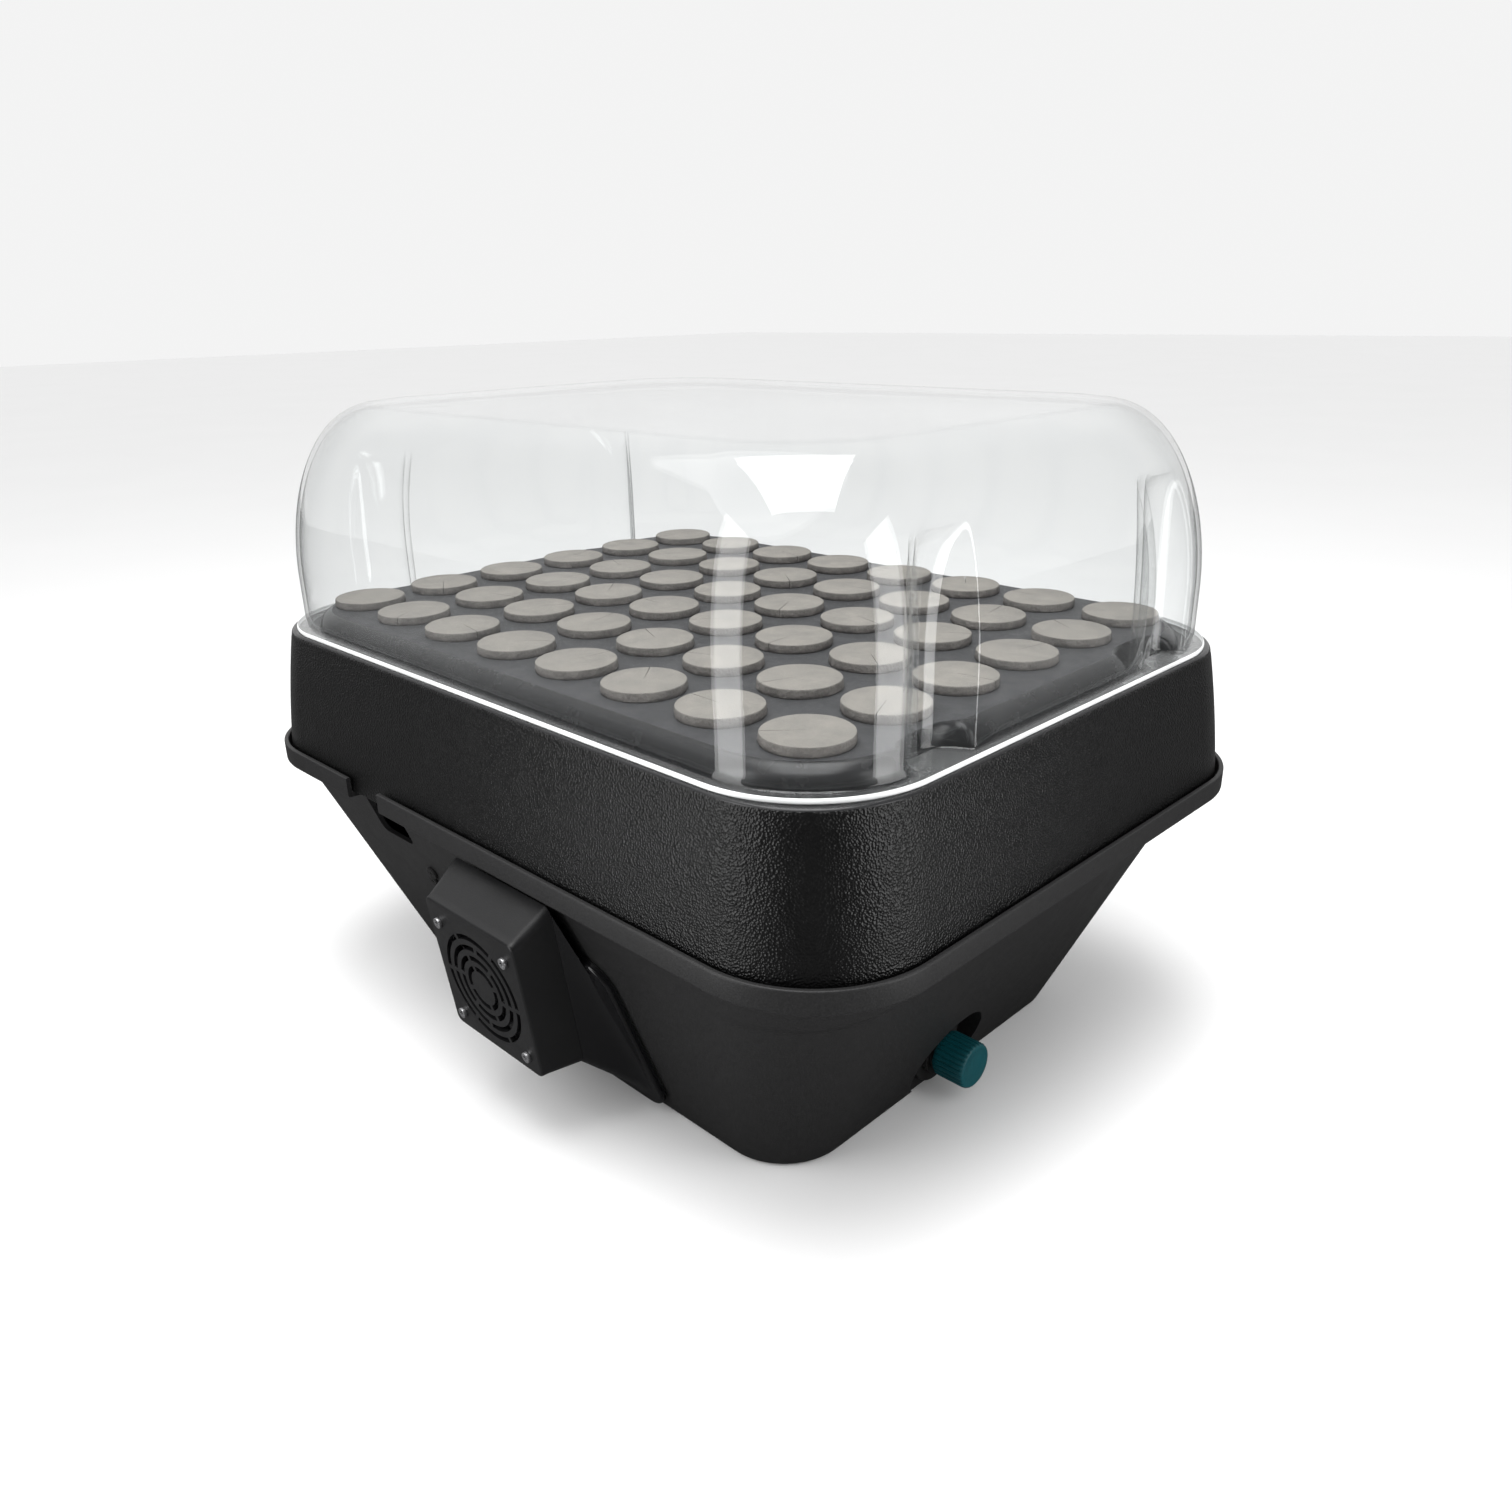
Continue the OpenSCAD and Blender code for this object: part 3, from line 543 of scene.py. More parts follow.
def make_looks():
    return {
        "tub_black": tub_look(),
        "lid_black": lid_look(),
        "lid_top_painted_light": lid_top_look(),
        "lid_roll": lid_roll_look(),
        "clear_plastic": clear_look(),
        "clear_edge_painted_light": flange_look(),
        "collar_foam": foam_look(),
        "collar_side_painted_shade": foam_side_look(),
        "cover_grey": moulded("cover_grey", (0.006, 0.006, 0.0065), 0.4, 900, 0.0001,
                              specular=0.35),
        "screw_steel": metal_look("screw_steel", (0.5, 0.5, 0.51), 0.4, (1500, 300, 300)),
        "fan_black": moulded("fan_black", (0.012, 0.012, 0.013), 0.45),
        "motor_copper": metal_look("motor_copper", (0.72, 0.38, 0.2), 0.35, (300, 4000, 300)),
        "duct_black": moulded("duct_black", (0.005, 0.005, 0.0055), 0.18, 300, 0.00004,
                              specular=0.35),
        "seal_rubber": rubber_look("seal_rubber", (0.012, 0.012, 0.012)),
        "fitting_black": moulded("fitting_black", (0.01, 0.01, 0.01), 0.35),
        "cap_teal": moulded("cap_teal", (0.002, 0.05, 0.06), 0.4, 900, 0.00008,
                            specular=0.3),
        "pump_blue_black": moulded("pump_blue_black", (0.012, 0.018, 0.03), 0.32),
        "ceramic_white": moulded("ceramic_white", (0.78, 0.77, 0.74), 0.15, 500, 0.00001),
        "impeller_white": moulded("impeller_white", (0.62, 0.62, 0.58), 0.4),
        "pipe_white": moulded("pipe_white", (0.72, 0.72, 0.7), 0.3, 400, 0.00003),
    }


LOOKS = make_looks()


# ---- The dome ----


def dome_level(half, z, inset):
    """One level of the wall, whose flutes run out towards the crown."""
    fade = max(0.0, 1 - max(0.0, (z - FLUTE_FADE_Z) / (FLUTE_TOP_Z - FLUTE_FADE_Z)) ** 2)
    corner = DOME_CORNER - inset - 12 * (DOME_HALF - inset - half) / DOME_RUN
    return fluted(half, corner, z, FLUTE_DEPTH * math.sqrt(fade), inset)


def dome_side(inset):
    """Levels of one side of the wall from the flange to the crown."""
    base = FLANGE_Z + FLANGE_T
    levels = []
    root_r = 2.2
    if inset == 0:
        for a in fillet(0, 75, 3):
            half = DOME_HALF + root_r * (1 - math.sin(a))
            levels.append(dome_level(half, base + root_r * (1 - math.cos(a)), 0))
    else:
        levels.append(dome_level(DOME_HALF - inset, base, inset))
    for k in range(1, 8):
        levels.append(dome_level(DOME_HALF - inset, base + (DOME_SHOULDER_Z - base) * k / 7, inset))
    rise = DOME_RISE - inset
    for a in fillet(3, 90, 29):
        half = DOME_HALF - DOME_RUN - inset + DOME_RUN * math.cos(a)
        levels.append(dome_level(half, DOME_SHOULDER_Z + rise * math.sin(a), inset))
    crown = DOME_SHOULDER_Z + rise
    for half, corner, up in ((214, 61, 0.5), (190, 56, 1.1), (165, 52, 1.6), (140, 48, 2.0),
                             (115, 34, 2.5), (90, 20, 2.9)):
        levels.append(fluted(half, corner, crown + up))
    return levels


def make_dome():
    outside = dome_side(0)
    inside = dome_side(DOME_WALL)
    foot = [dome_level(DOME_HALF - DOME_WALL, FLANGE_Z, DOME_WALL)]
    lip = ((0.8, 0), (0.2, 0.3), (0, 0.9), (0, FLANGE_T - 0.9), (0.2, FLANGE_T - 0.3), (0.8, FLANGE_T))
    for back, up in lip:
        foot.append(fluted(FLANGE_HALF - back, DOME_CORNER + 3 - back, FLANGE_Z + up))
    rings = inside[::-1] + foot + outside
    verts, faces = loft(rings)
    n = len(rings[0])
    first, last = len(inside), len(inside) + len(foot)
    # The flange's lip takes the whitish edge material, a painted highlight of the light caught in the
    # sheet's edge.
    marks = [1 if first < i // n < last - 1 else 0 for i in range(len(faces))]
    piece("dome_shell", verts, faces, [LOOKS["clear_plastic"], LOOKS["clear_edge_painted_light"]], "dome",
          "clear_plastic", ["dome"], sharp=50, marks=marks)


# ---- The lid ----


def site(row, column):
    """Middle of one collar's hole."""
    across = column - (COLLAR_COLUMNS - 1) / 2
    return across * PITCH, (row - (COLLAR_ROWS - 1) / 2) * PITCH


def lid_flute(half):
    """Depth that keeps a lid level behind the dome's flutes."""
    return half - (DOME_HALF - DOME_WALL - FLUTE_DEPTH - 2)


def lid_rings():
    """Levels of the lid, up its inside to the skirt's edge and over its outside to the top."""
    seat, corner, edge_r = 286.0, 73.0, 4.1
    spare = 7.0
    skirt_foot_z, skirt_top_z = 188.4, 278.7
    skirt_foot, skirt_top, belly = 297.5, 287.2, 3.6
    roll_r = 12
    inside = [
        fluted(252, 54, 293.8, lid_flute(252) + 3, spare),
        fluted(260, 58, 291.5, lid_flute(260) + 3.5, spare),
        fluted(264.5, 62, 286.5, lid_flute(264.5) + 3, spare),
        fluted(266, 65, 281.5, lid_flute(266) + 4, spare),
        fluted(277, 70, 281.5),
        fluted(283, 72, 278.7),
        fluted(290.05, 72, 236.3),
        fluted(294.3, 72.8, 188.2),
    ]
    low = [
        fluted(294.8, 73.2, 187.8),
        fluted(297.0, 75.6, 187.8),
        fluted(297.5, 76, 188.4),
    ]
    skirt = []
    for k in range(1, 12):
        t = k / 11
        z = skirt_foot_z + (skirt_top_z - skirt_foot_z) * t
        half = skirt_foot + (skirt_top - skirt_foot) * t + belly * t * (1 - t)
        skirt.append(fluted(half, 76 - 3 * t, z))
    seat_edge = []
    for a in fillet(0, 90, 6):
        out = 2.6 * math.cos(a) - 1.6
        seat_edge.append(fluted(seat + out, corner + out, SEAT_Z - edge_r * (1 - math.sin(a))))
    top = [fluted(280, 71, SEAT_Z), fluted(275, 69.5, SEAT_Z)]
    for a in fillet(90, 0, 12):
        half = LID_TOP_HALF + roll_r * math.sin(a)
        z = LID_TOP_Z - roll_r * (1 - math.cos(a)) - 0.3 * math.sin(a)
        top.append(fluted(half, 60 + 8 * math.sin(a), z, lid_flute(half), spare))
    top.append(fluted(256, 58.5, LID_TOP_Z, lid_flute(LID_TOP_HALF) - 2, spare))
    return inside + low + skirt + seat_edge + top


def make_lid():
    rings = lid_rings()
    verts, faces = loft(rings)
    looks = [LOOKS["lid_black"], LOOKS["lid_top_painted_light"], LOOKS["lid_roll"]]
    lid = piece("lid_shell", verts, faces, looks, None, None)
    cutters = []
    for row in range(COLLAR_ROWS):
        for column in range(COLLAR_COLUMNS):
            part = lathe([(24.4, 288), (24.4, 296.4), (25.0, 297.05), (25.0, 299)], 64)
            cutters.append(turned(part, Matrix.Translation((*site(row, column), 0))))
    verts, faces = join(*cutters)
    cut_with(lid, piece("site_cutter", verts, faces, LOOKS["lid_top_painted_light"], None, None))
    # The flat top takes the lighter top material, whose grey is painted light; the roll and the skirt
    # keep their own materials.
    for face in lid.data.polygons:
        z = face.center.z / MM
        if face.normal.z > 0.9 and z > 296.5:
            face.material_index = 1
        elif z > 283.5:
            face.material_index = 2
        else:
            face.material_index = 0
    finish_normals(lid, 32)
    settle(lid, "lid", ["lid"])


# ---- The reservoir ----


def drain_end(z):
    """Half length of the drain end, which steps out at a soft shoulder."""
    low = TUB_HALF + 0.42 * (z - TUB_FOOT_Z)
    high = TUB_HALF + END_LEAN * (z - TUB_FOOT_Z) - 3
    return low + (high - low) * smooth_step((z - 149) / 9.5)


def tub_level(z, inset):
    """One level of the tapered wall, moved in by inset."""
    left = TUB_HALF + END_LEAN * (z - TUB_FOOT_Z)
    corner = 46 + 0.12 * (z - TUB_FOOT_Z)
    return plain(left - inset, drain_end(z) - inset, front_y(z) - inset, corner - inset, z)


def rim_level(inset, z):
    return plain(RIM_HALF - inset, RIM_HALF - inset, RIM_SIDE - inset, RIM_CORNER - inset, z)


def tub_rings():
    """Levels up the outside, over the rim and its inner ledge, and down the inside."""
    foot = ((0, 5.2), (0.25, 3.6), (0.9, 2.1), (2, 0.9), (3.6, 0.2), (5.5, 0))
    rings = [tub_level(z, inset) for z, inset in foot]
    rings += [tub_level(z, 0) for z in range(14, 146, 12)]
    rings += [tub_level(z, 0) for z in (147, 149, 150.5, 152, 153.5, 155, 156.5, 158, 160, 168, 176)]
    wall_z = RIM_Z - 4
    rings.append(tub_level(wall_z, 0))
    for k in range(1, 5):
        t = k / 4
        out = 4 * (1 - math.cos(math.radians(90 * t)))
        rings.append(tub_level(wall_z + 4 * math.sin(math.radians(90 * t)) - 0.1, -out))
    rings.append(rim_level(2.4, RIM_Z))
    rings += [rim_level(1.9 * (1 - math.sin(a)), RIM_Z + 1.9 * (1 - math.cos(a)))
              for a in fillet(20, 90, 4)]
    rings.append(rim_level(0, RIM_TOP_Z - 1.4))
    rings += [rim_level(1.1 * (1 - math.cos(a)), RIM_TOP_Z - 1.1 + 1.1 * math.sin(a))
              for a in fillet(25, 90, 3)]
    rings.append(rim_level(RIM_WALL - 0.5, RIM_TOP_Z))
    rings += [rim_level(RIM_WALL, RIM_TOP_Z - 0.5), rim_level(RIM_WALL, LEDGE_Z)]
    rings += [tub_level(z, 3.85) for z in (LEDGE_Z - 0.05, 170, 158, 154, 150, 120, 80, 40, 10)]
    rings.append(plain(197, 197, 151, 39, 3.5))
    return rings


def panel(w, h, r, depth, front=0.0, n=8):
    """Upright rounded plate that faces -Y, from front to front + depth."""
    outline = rounded(w, h, r, n, 2)
    rings = [[(x, front + depth, z) for x, z in outline], [(x, front, z) for x, z in outline]]
    return loft(rings)


def rod_y(r, start, length, n=64):
    rings = [[(x, y, z) for x, z in circle(r, n)] for y in (start + length, start)]
    return loft(rings)


def rod_x(r, start, stop, n=64, y0=0.0, z0=0.0):
    rings = [[(x, y0 + y, z0 + z) for y, z in circle(r, n)] for x in (start, stop)]
    return loft(rings)


def wall_frame(x, z):
    """Frame on the leaning front wall, whose -Y looks straight out of it."""
    return Matrix.Translation((x, -front_y(z), z)) @ Matrix.Rotation(WALL_ANGLE, 4, "X")


def make_reservoir():
    verts, faces = loft(tub_rings())
    tub = piece("reservoir_tub", verts, faces, LOOKS["tub_black"], None, None)
    verts, faces = loft([tub_level(z, 1.75) for z in (1, 40, 90)])
    boss = piece("boss", verts, faces, LOOKS["tub_black"], None, None)
    verts, faces = rod_x(37.5, 196.5, 244, 96, DRAIN_Y, DRAIN_Z)
    cut_with(boss, piece("boss_cutter", verts, faces, LOOKS["tub_black"], None, None), "INTERSECT")
    cut_with(tub, boss, "UNION")
    notch = ((-144, -238), (-102, -238), (-102, -216), (-144, -216))
    cutters = [
        rod_x(34, 200, 246, 96, DRAIN_Y, DRAIN_Z),
        rod_x(13.4, 180, 201, 48, DRAIN_Y, DRAIN_Z),
        turned(rod_y(34, -10, 30, 80), wall_frame(FAN_X, 82)),
        turned(panel(42, 36, 6, 40), Matrix.Translation((-123, -236.3, 170))),
        loft([[(x, y, z) for x, y in notch] for z in (176, 204)]),
    ]
    for side in (0, 1):
        cutters.append(turned(rod_y(3.4, -5, 12, 32), wall_frame(-95 - 5 * side, 131 - 9 * side)))
    for part in cutters:
        cut_with(tub, piece("tub_cutter", *part, LOOKS["tub_black"], None, None))
    finish_normals(tub, 30)
    settle(tub, "reservoir", ["reservoir"])


# ---- Collars ----


def ragged(r, angle, height, seed, amount):
    """Radius of a die-cut foam edge, a little uneven."""
    p = Vector((math.cos(angle) * 2.1, math.sin(angle) * 2.1, seed * 7.3 + height * 0.11))
    fine = noise.noise(p * 3.1)
    return r + amount * (noise.noise(p) + 0.6 * fine)


def collar(x, y, turn, seed):
    """Foam plug with a wider head, slit from its middle to its rim in the direction turn."""
    steps, slit = 84, 0.24
    plug = ((278, 22.8, 0.5), (278.8, 23.8, 0.3), (288, 24, 0.2), (296.9, 24, 0.2))
    head = ((297.3, 24.7, 0.5), (297.8, 25.3, 0.65), (299.5, 25.2, 0.35), (301.9, 25.1, 0.2),
            (302.6, 24.8, 0.2), (303, 24.2, 0.2))
    rings = []
    for z, r, amount in plug + head:
        open_by = math.asin(slit / r)
        ring = []
        for k in range(steps + 1):
            a = open_by + (math.tau - 2 * open_by) * k / steps
            q = ragged(r, a, z, seed, amount)
            ring.append((q * math.cos(a), q * math.sin(a), z))
        for share in (0.75, 0.5, 0.25, 0.04):
            ring.append((r * share, -slit * (0.4 + 0.6 * share), z))
        for share in (0.04, 0.25, 0.5, 0.75):
            ring.append((r * share, slit * (0.4 + 0.6 * share), z))
        rings.append(ring)
    part = loft(rings)
    return turned(part, Matrix.Translation((x, y, 0)) @ Matrix.Rotation(math.radians(turn), 4, "Z"))


def make_collars():
    for row, letter in enumerate("abcdef"):
        parts = []
        for column in range(COLLAR_COLUMNS):
            turn = 256 + 47 * column + 71 * row
            parts.append(collar(*site(row, column), turn, row * COLLAR_COLUMNS + column))
        verts, faces = join(*parts)
        looks = [LOOKS["collar_foam"], LOOKS["collar_side_painted_shade"]]
        obj = piece(f"foam_collars_{letter}", verts, faces, looks, f"collars_{letter}",
                    "collar_foam", [f"collars_row_{letter}"], sharp=60)
        # Faces that look up take the lit foam; the sides and the plug take the darker copy, which is
        # painted shade.
        for face in obj.data.polygons:
            face.material_index = 0 if face.normal.z > 0.5 and face.center.z > 0.3005 else 1


# ---- Fan cover and duct ----


def fan_frame():
    """Frame in the middle of the cover's face, whose -Y looks out of it."""
    return Matrix.Translation(FAN_AT) @ Matrix.Rotation(FAN_TILT, 4, "X")


def at_depth(w, h, r, depth, up, n=8, straight=4):
    return [(x, depth, z + up) for x, z in rounded(w, h, max(r, 0.3), n, straight)]


def slot_cutter(r, bridges, turn, width=3.6, bridge=3.2):
    """Curved slots of one ring, cut right through the cover's face."""
    parts = []
    for k in range(bridges):
        spare = bridge / 2
        steps = 18
        outer, inner = r + width / 2, r - width / 2
        lead = math.radians(turn + 360 * k / bridges)
        end = lead + math.tau / bridges
        ring = []
        for q, order in ((outer, range(steps + 1)), (inner, range(steps, -1, -1))):
            a0, a1 = lead + math.asin(spare / q), end - math.asin(spare / q)
            for i in order:
                a = a0 + (a1 - a0) * i / steps
                ring.append((q * math.cos(a), q * math.sin(a)))
        parts.append(loft([[(x, y, z) for x, z in ring] for y in (6, -3)]))
    return parts


def make_cover():
    """Hollow tapered box with ring slots in its face, which opens towards the wall."""
    outer, inner = [], []
    edge_r, wall = 1.8, 2.5

    def size(t):
        """Width, height and rise of the box from its face, 0, to its back, 1."""
        return 96 + 8 * t, 100 + 18 * t, 1.8 + 4.2 * t

    for a in fillet(90, 0, 5):
        w, h, up = size(0)
        pull = edge_r * (1 - math.sin(a))
        back = edge_r * (1 - math.cos(a))
        outer.append((w - 2 * pull, h - 2 * pull, 5.2 - 0.5 * pull, back, up))
    outer = outer[::-1]
    for k in range(1, 9):
        t = k / 8
        w, h, up = size(t)
        outer.append((w, h, 6, edge_r + (COVER_DEPTH - edge_r) * t, up))
    for t, y in ((1, COVER_DEPTH), (0.5, COVER_DEPTH * 0.5), (0.12, 4.4), (0.0, 3.4)):
        w, h, up = size(t)
        inner.append((w - 2 * wall, h - 2 * wall, 4, y, up))
    rings = [at_depth(w, h, r, y, up) for w, h, r, y, up in outer + inner]
    verts, faces = loft(rings)
    faces = [tuple(reversed(f)) for f in faces]
    cover = piece("fan_cover_shell", verts, faces, LOOKS["cover_grey"], None, None)
    parts = []
    for k in range(4):
        parts += slot_cutter(14 + 7.6 * k, 4 + (k % 2) * 2, 20 + 33 * k)
    for x in (-1, 1):
        for z in (-1, 1):
            move = Matrix.Translation((x * SCREW_PITCH / 2, 0, z * SCREW_PITCH / 2))
            parts.append(turned(rod_y(2.2, -2, 8, 32), move))
    verts, faces = join(*parts)
    cut_with(cover, piece("cover_cutter", verts, faces, LOOKS["cover_grey"], None, None))
    cover.data.transform(scaled(fan_frame()))
    finish_normals(cover, 28)
    settle(cover, "reservoir", ["fan_cover"])


def scaled(matrix):
    """The same move for a mesh whose points are already in metres."""
    made = matrix.copy()
    made.translation = made.translation * MM
    return made


def make_duct():
    """Flared duct from a rounded foot on the wall to the back of the fan cover."""
    foot = wall_frame(FAN_X, 72)
    mouth = fan_frame()
    edge_r = 1.6

    def foot_ring(shrink, corner, out):
        outline = rounded(151 - shrink, 134 - shrink, corner, 10, 5)
        return [tuple(foot @ Vector((x, -1.5 - out, z))) for x, z in outline]

    def mouth_ring(shrink):
        outline = rounded(104 - shrink, 118 - shrink, 6, 10, 5)
        return [tuple(mouth @ Vector((x, COVER_DEPTH + 0.15, z + 6))) for x, z in outline]

    rings = [foot_ring(0, 18, 0), foot_ring(0, 18, 2.4)]
    for a in fillet(30, 90, 3):
        pull = edge_r * (1 - math.cos(a))
        rings.append(foot_ring(2 * pull, 18 - pull, 2.4 + edge_r * math.sin(a)))
    low, high = foot_ring(24, 14, 4), mouth_ring(0)
    flare = foot_ring(12, 16, 4.0)
    rings.append(flare)
    for k in range(0, 13):
        t = k / 12
        ease = math.exp(-9 * t) * (1 - t)
        ring = []
        for a, b, c in zip(low, high, flare):
            p = Vector(a).lerp(Vector(b), t)
            spread = (Vector(c) - Vector(a)) * ease * 0.85
            ring.append(tuple(p + spread))
        rings.append(ring)
    rings.append(mouth_ring(5))
    rings.append([tuple(Vector(a).lerp(Vector(b), 0.5))
                  for a, b in zip(mouth_ring(5), foot_ring(29, 12, 1))])
    rings.append(foot_ring(29, 12, 0))
    verts, faces = loft(rings, closed=True)
    piece("air_duct_shell", verts, [tuple(reversed(f)) for f in faces], LOOKS["duct_black"], "reservoir",
          "duct_black", ["air_duct"], sharp=38)


# ---- Drain cap ----


def make_cap():
    """Screw cap with rounded grip ribs and a flat face inside a chamfer."""
    ribs, each = 28, 8
    n = ribs * each

    def ribbed(x, r, depth):
        ring = []
        for k in range(n):
            a = math.tau * k / n
            wave = abs(math.sin(math.pi * k / each))
            q = r - depth * (1 - wave**0.7)
            ring.append((x, DRAIN_Y + q * math.cos(a), DRAIN_Z + q * math.sin(a)))
        return ring

    bore = [(234.6, 13.3, 0), (214, 13.3, 0)]
    mouth = [(214, 14.6, 0), (214, 15.0, 0), (214.5, 15.3, 0.1), (215.3, 16, 0.9)]
    grip = [(x, 16, 0.95) for x in (218, 224, 230, 235.6)]
    face = [(236.8, 15.6, 0.7), (237.6, 15.0, 0.2), (238, 14.3, 0), (238, 12.6, 0),
            (237.75, 12.2, 0), (237.75, 4, 0)]
    verts, faces = loft([ribbed(*level) for level in bore + mouth + grip + face])
    piece("drain_cap_shell", verts, faces, LOOKS["cap_teal"], "drain_cap", "cap_teal",
          ["drain_cap"], sharp=40)


# ---- CAD nodes that keep their shape ----
# Each with its material and the radius of its softened edges
KEPT = {
    "fan_cover_screws": ("screw_steel", 0.15),
    "fan_frame": ("fan_black", 0.4),
    "fan_motor": ("motor_copper", 0.2),
    "fan_rotor": ("fan_black", 0.2),
    "duct_gasket": ("seal_rubber", 0.2),
    "lead_grommets": ("seal_rubber", 0.5),
    "drain_fitting": ("fitting_black", 0.5),
    "drain_gasket": ("seal_rubber", 0.3),
    "drain_locknut": ("fitting_black", 0.6),
    "drain_cap_washer": ("seal_rubber", 0.3),
    "pump_housing": ("pump_blue_black", 1.2),
    "pump_strainer": ("fitting_black", 0.5),
    "pump_shaft": ("ceramic_white", 0.3),
    "pump_impeller": ("impeller_white", 0.3),
    "pump_feet": ("seal_rubber", 0.4),
    "pump_cord_gland": ("seal_rubber", 0.5),
    "pump_outlet_adaptor": ("fitting_black", 0.5),
    "riser_pipe": ("pipe_white", 0.4),
    "manifold_hub": ("pipe_white", 0.8),
    "cross_pipes": ("pipe_white", 0.4),
    "manifold_tees": ("pipe_white", 0.8),
    "spray_bars": ("pipe_white", 0.4),
    "bar_end_caps": ("pipe_white", 0.6),
    "spray_nozzles": ("fitting_black", 0.3),
}


def dress_nodes():
    """Gives each kept node its material and softly rounded edges."""
    for name, (look, edge) in KEPT.items():
        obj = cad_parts[name]
        obj.data.materials.clear()
        obj.data.materials.append(LOOKS[look])
        weld = obj.modifiers.new("weld", "WELD")
        weld.merge_threshold = 0.00001
        flat = obj.modifiers.new("flat", "DECIMATE")
        flat.decimate_type = "DISSOLVE"
        flat.angle_limit = math.radians(1)
        bevel = obj.modifiers.new("edge", "BEVEL")
        bevel.width = edge * MM
        bevel.segments = 2
        bevel.limit_method = "ANGLE"
        bevel.angle_limit = math.radians(38)
        bevel.harden_normals = True


# ---- Studio ----


def make_floor():
    """Pale floor, dim in reflections so that black plastic stays black."""
    mesh = bpy.data.meshes.new("floor")
    size = 14.0
    corners = [(-size, -size, 0), (size, -size, 0), (size, size, 0), (-size, size, 0)]
    mesh.from_pydata(corners, [], [(0, 1, 2, 3)])
    floor = bpy.data.objects.new("floor", mesh)
    scene.collection.objects.link(floor)
    look = Look("floor_pale", (0.86, 0.86, 0.86), 0.9, specular=0.1)
    look.tint(look.noise(2.5, 4), 0.006)
    dim = look.node("ShaderNodeBsdfDiffuse")
    dim.inputs["Color"].default_value = (0.12, 0.12, 0.12, 1)
    mixed = look.node("ShaderNodeMixShader")
    look.link(look.node("ShaderNodeLightPath").outputs["Is Glossy Ray"], mixed.inputs[0])
    look.link(look.shader.outputs[0], mixed.inputs[1])
    look.link(dim.outputs[0], mixed.inputs[2])
    look.link(mixed.outputs[0], look.output.inputs["Surface"])
    mesh.materials.append(look.material)


def area(name, place, target, width, height, watts):
    """Soft box at place that looks at target and doesn't show."""
    data = bpy.data.lights.new(name, "AREA")
    data.shape = "RECTANGLE"
    data.size, data.size_y, data.energy = width, height, watts
    light = bpy.data.objects.new(name, data)
    light.location = place
    light.rotation_mode = "QUATERNION"
    light.rotation_quaternion = (Vector(target) - Vector(place)).to_track_quat("-Z", "Y")
    light.visible_camera = False
    scene.collection.objects.link(light)
    return light


def background(tree, strength):
    made = tree.nodes.new("ShaderNodeBackground")
    made.inputs["Color"].default_value = (1, 1, 1, 1)
    made.inputs["Strength"].default_value = strength
    return made.outputs[0]


def room_strength(tree):
    """What reflections see by direction: a pale sweep behind the object, a dark room in front."""
    towards = tree.nodes.new("ShaderNodeTexCoord").outputs["Generated"]
    along = tree.nodes.new("ShaderNodeVectorMath")
    along.operation = "DOT_PRODUCT"
    along.inputs[1].default_value = (-math.sqrt(0.5), math.sqrt(0.5), 0)
    tree.links.new(towards, along.inputs[0])
    fade = tree.nodes.new("ShaderNodeMapRange")
    fade.inputs["From Min"].default_value = 0.0
    fade.inputs["From Max"].default_value = 0.6
    fade.inputs["To Min"].default_value = 0.1
    fade.inputs["To Max"].default_value = 0.9
    tree.links.new(along.outputs["Value"], fade.inputs["Value"])
    return fade.outputs[0]


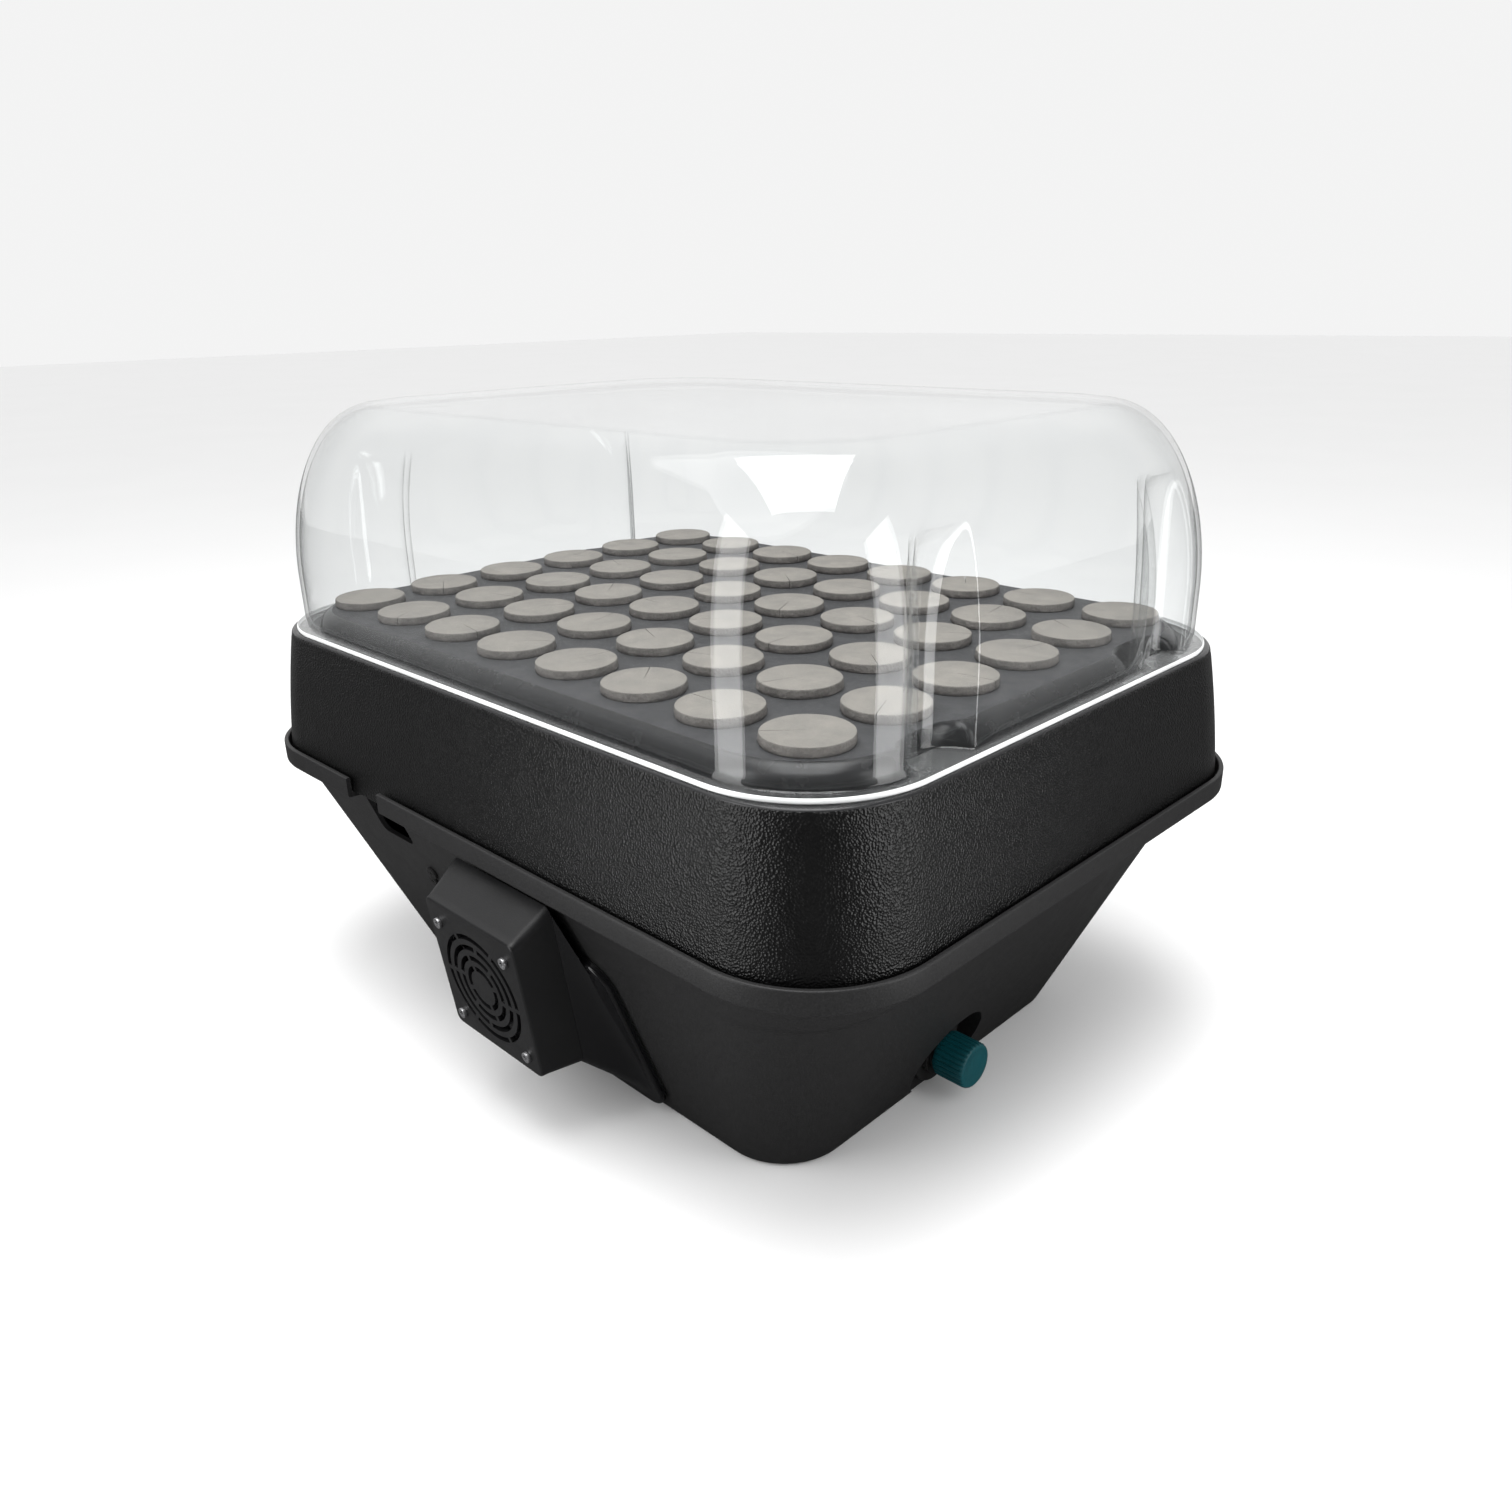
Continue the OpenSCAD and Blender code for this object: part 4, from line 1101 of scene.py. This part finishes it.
def make_world():
    """Even soft light, a paler sweep behind the object, and a dimmer room in its reflections."""
    world = bpy.data.worlds.new("studio")
    world.use_nodes = True
    tree = world.node_tree
    tree.nodes.clear()
    path = tree.nodes.new("ShaderNodeLightPath")
    dim = tree.nodes.new("ShaderNodeMixShader")
    tree.links.new(path.outputs["Is Glossy Ray"], dim.inputs[0])
    tree.links.new(background(tree, 0.62), dim.inputs[1])
    room = background(tree, 0.9)
    tree.links.new(room_strength(tree), room.node.inputs["Strength"])
    tree.links.new(room, dim.inputs[2])
    seen = tree.nodes.new("ShaderNodeMixShader")
    tree.links.new(path.outputs["Is Camera Ray"], seen.inputs[0])
    tree.links.new(dim.outputs[0], seen.inputs[1])
    tree.links.new(background(tree, 0.9), seen.inputs[2])
    out = tree.nodes.new("ShaderNodeOutputWorld")
    tree.links.new(seen.outputs[0], out.inputs["Surface"])
    scene.world = world


def make_studio():
    make_floor()
    make_world()
    sky = bpy.data.lights.new("sky_panel", "SUN")
    sky.energy, sky.angle = 1.25, math.radians(75)
    sky_panel = bpy.data.objects.new("sky_panel", sky)
    sky_panel.rotation_euler = (math.radians(14), math.radians(-12), 0)
    scene.collection.objects.link(sky_panel)
    top = area("top_box", (0.15, -0.25, 1.9), (0.15, -0.25, 0.2), 1.2, 1.5, 30)
    top.rotation_mode = "XYZ"
    top.rotation_euler = (0, 0, CAMERA_AZIMUTH)
    area("left_box", (-0.01, -0.73, 0.43), (0.27, -0.2, 0.43), 0.28, 0.86, 2.9)
    area("right_box", (0.82, 0.02, 0.43), (0.27, -0.2, 0.43), 0.28, 0.86, 2.9)
    scene.view_settings.view_transform = "Standard"


def make_camera():
    """Camera off the front right corner, looking down on it, with a slight roll."""
    place = Vector((0.5948, -0.5691, 0.5054))
    down, roll = math.radians(21.32), math.radians(-1.17)
    level = Vector((-math.sin(CAMERA_AZIMUTH), math.cos(CAMERA_AZIMUTH), 0))
    look = level * math.cos(down) - Vector((0, 0, math.sin(down)))
    right = look.cross(Vector((0, 0, 1))).normalized()
    up = right.cross(look)
    right, up = (right * math.cos(roll) + up * math.sin(roll),
                 up * math.cos(roll) - right * math.sin(roll))
    data = bpy.data.cameras.new("camera")
    data.sensor_width = 36
    data.lens = 27.857
    data.clip_start, data.clip_end = 0.02, 60
    camera = bpy.data.objects.new("camera", data)
    camera.matrix_world = Matrix((
        (right.x, up.x, -look.x, place.x),
        (right.y, up.y, -look.y, place.y),
        (right.z, up.z, -look.z, place.z),
        (0, 0, 0, 1),
    ))
    scene.collection.objects.link(camera)
    scene.camera = camera


make_camera()
make_studio()
make_dome()
make_lid()
make_reservoir()
make_collars()
make_cover()
make_duct()
make_cap()
dress_nodes()
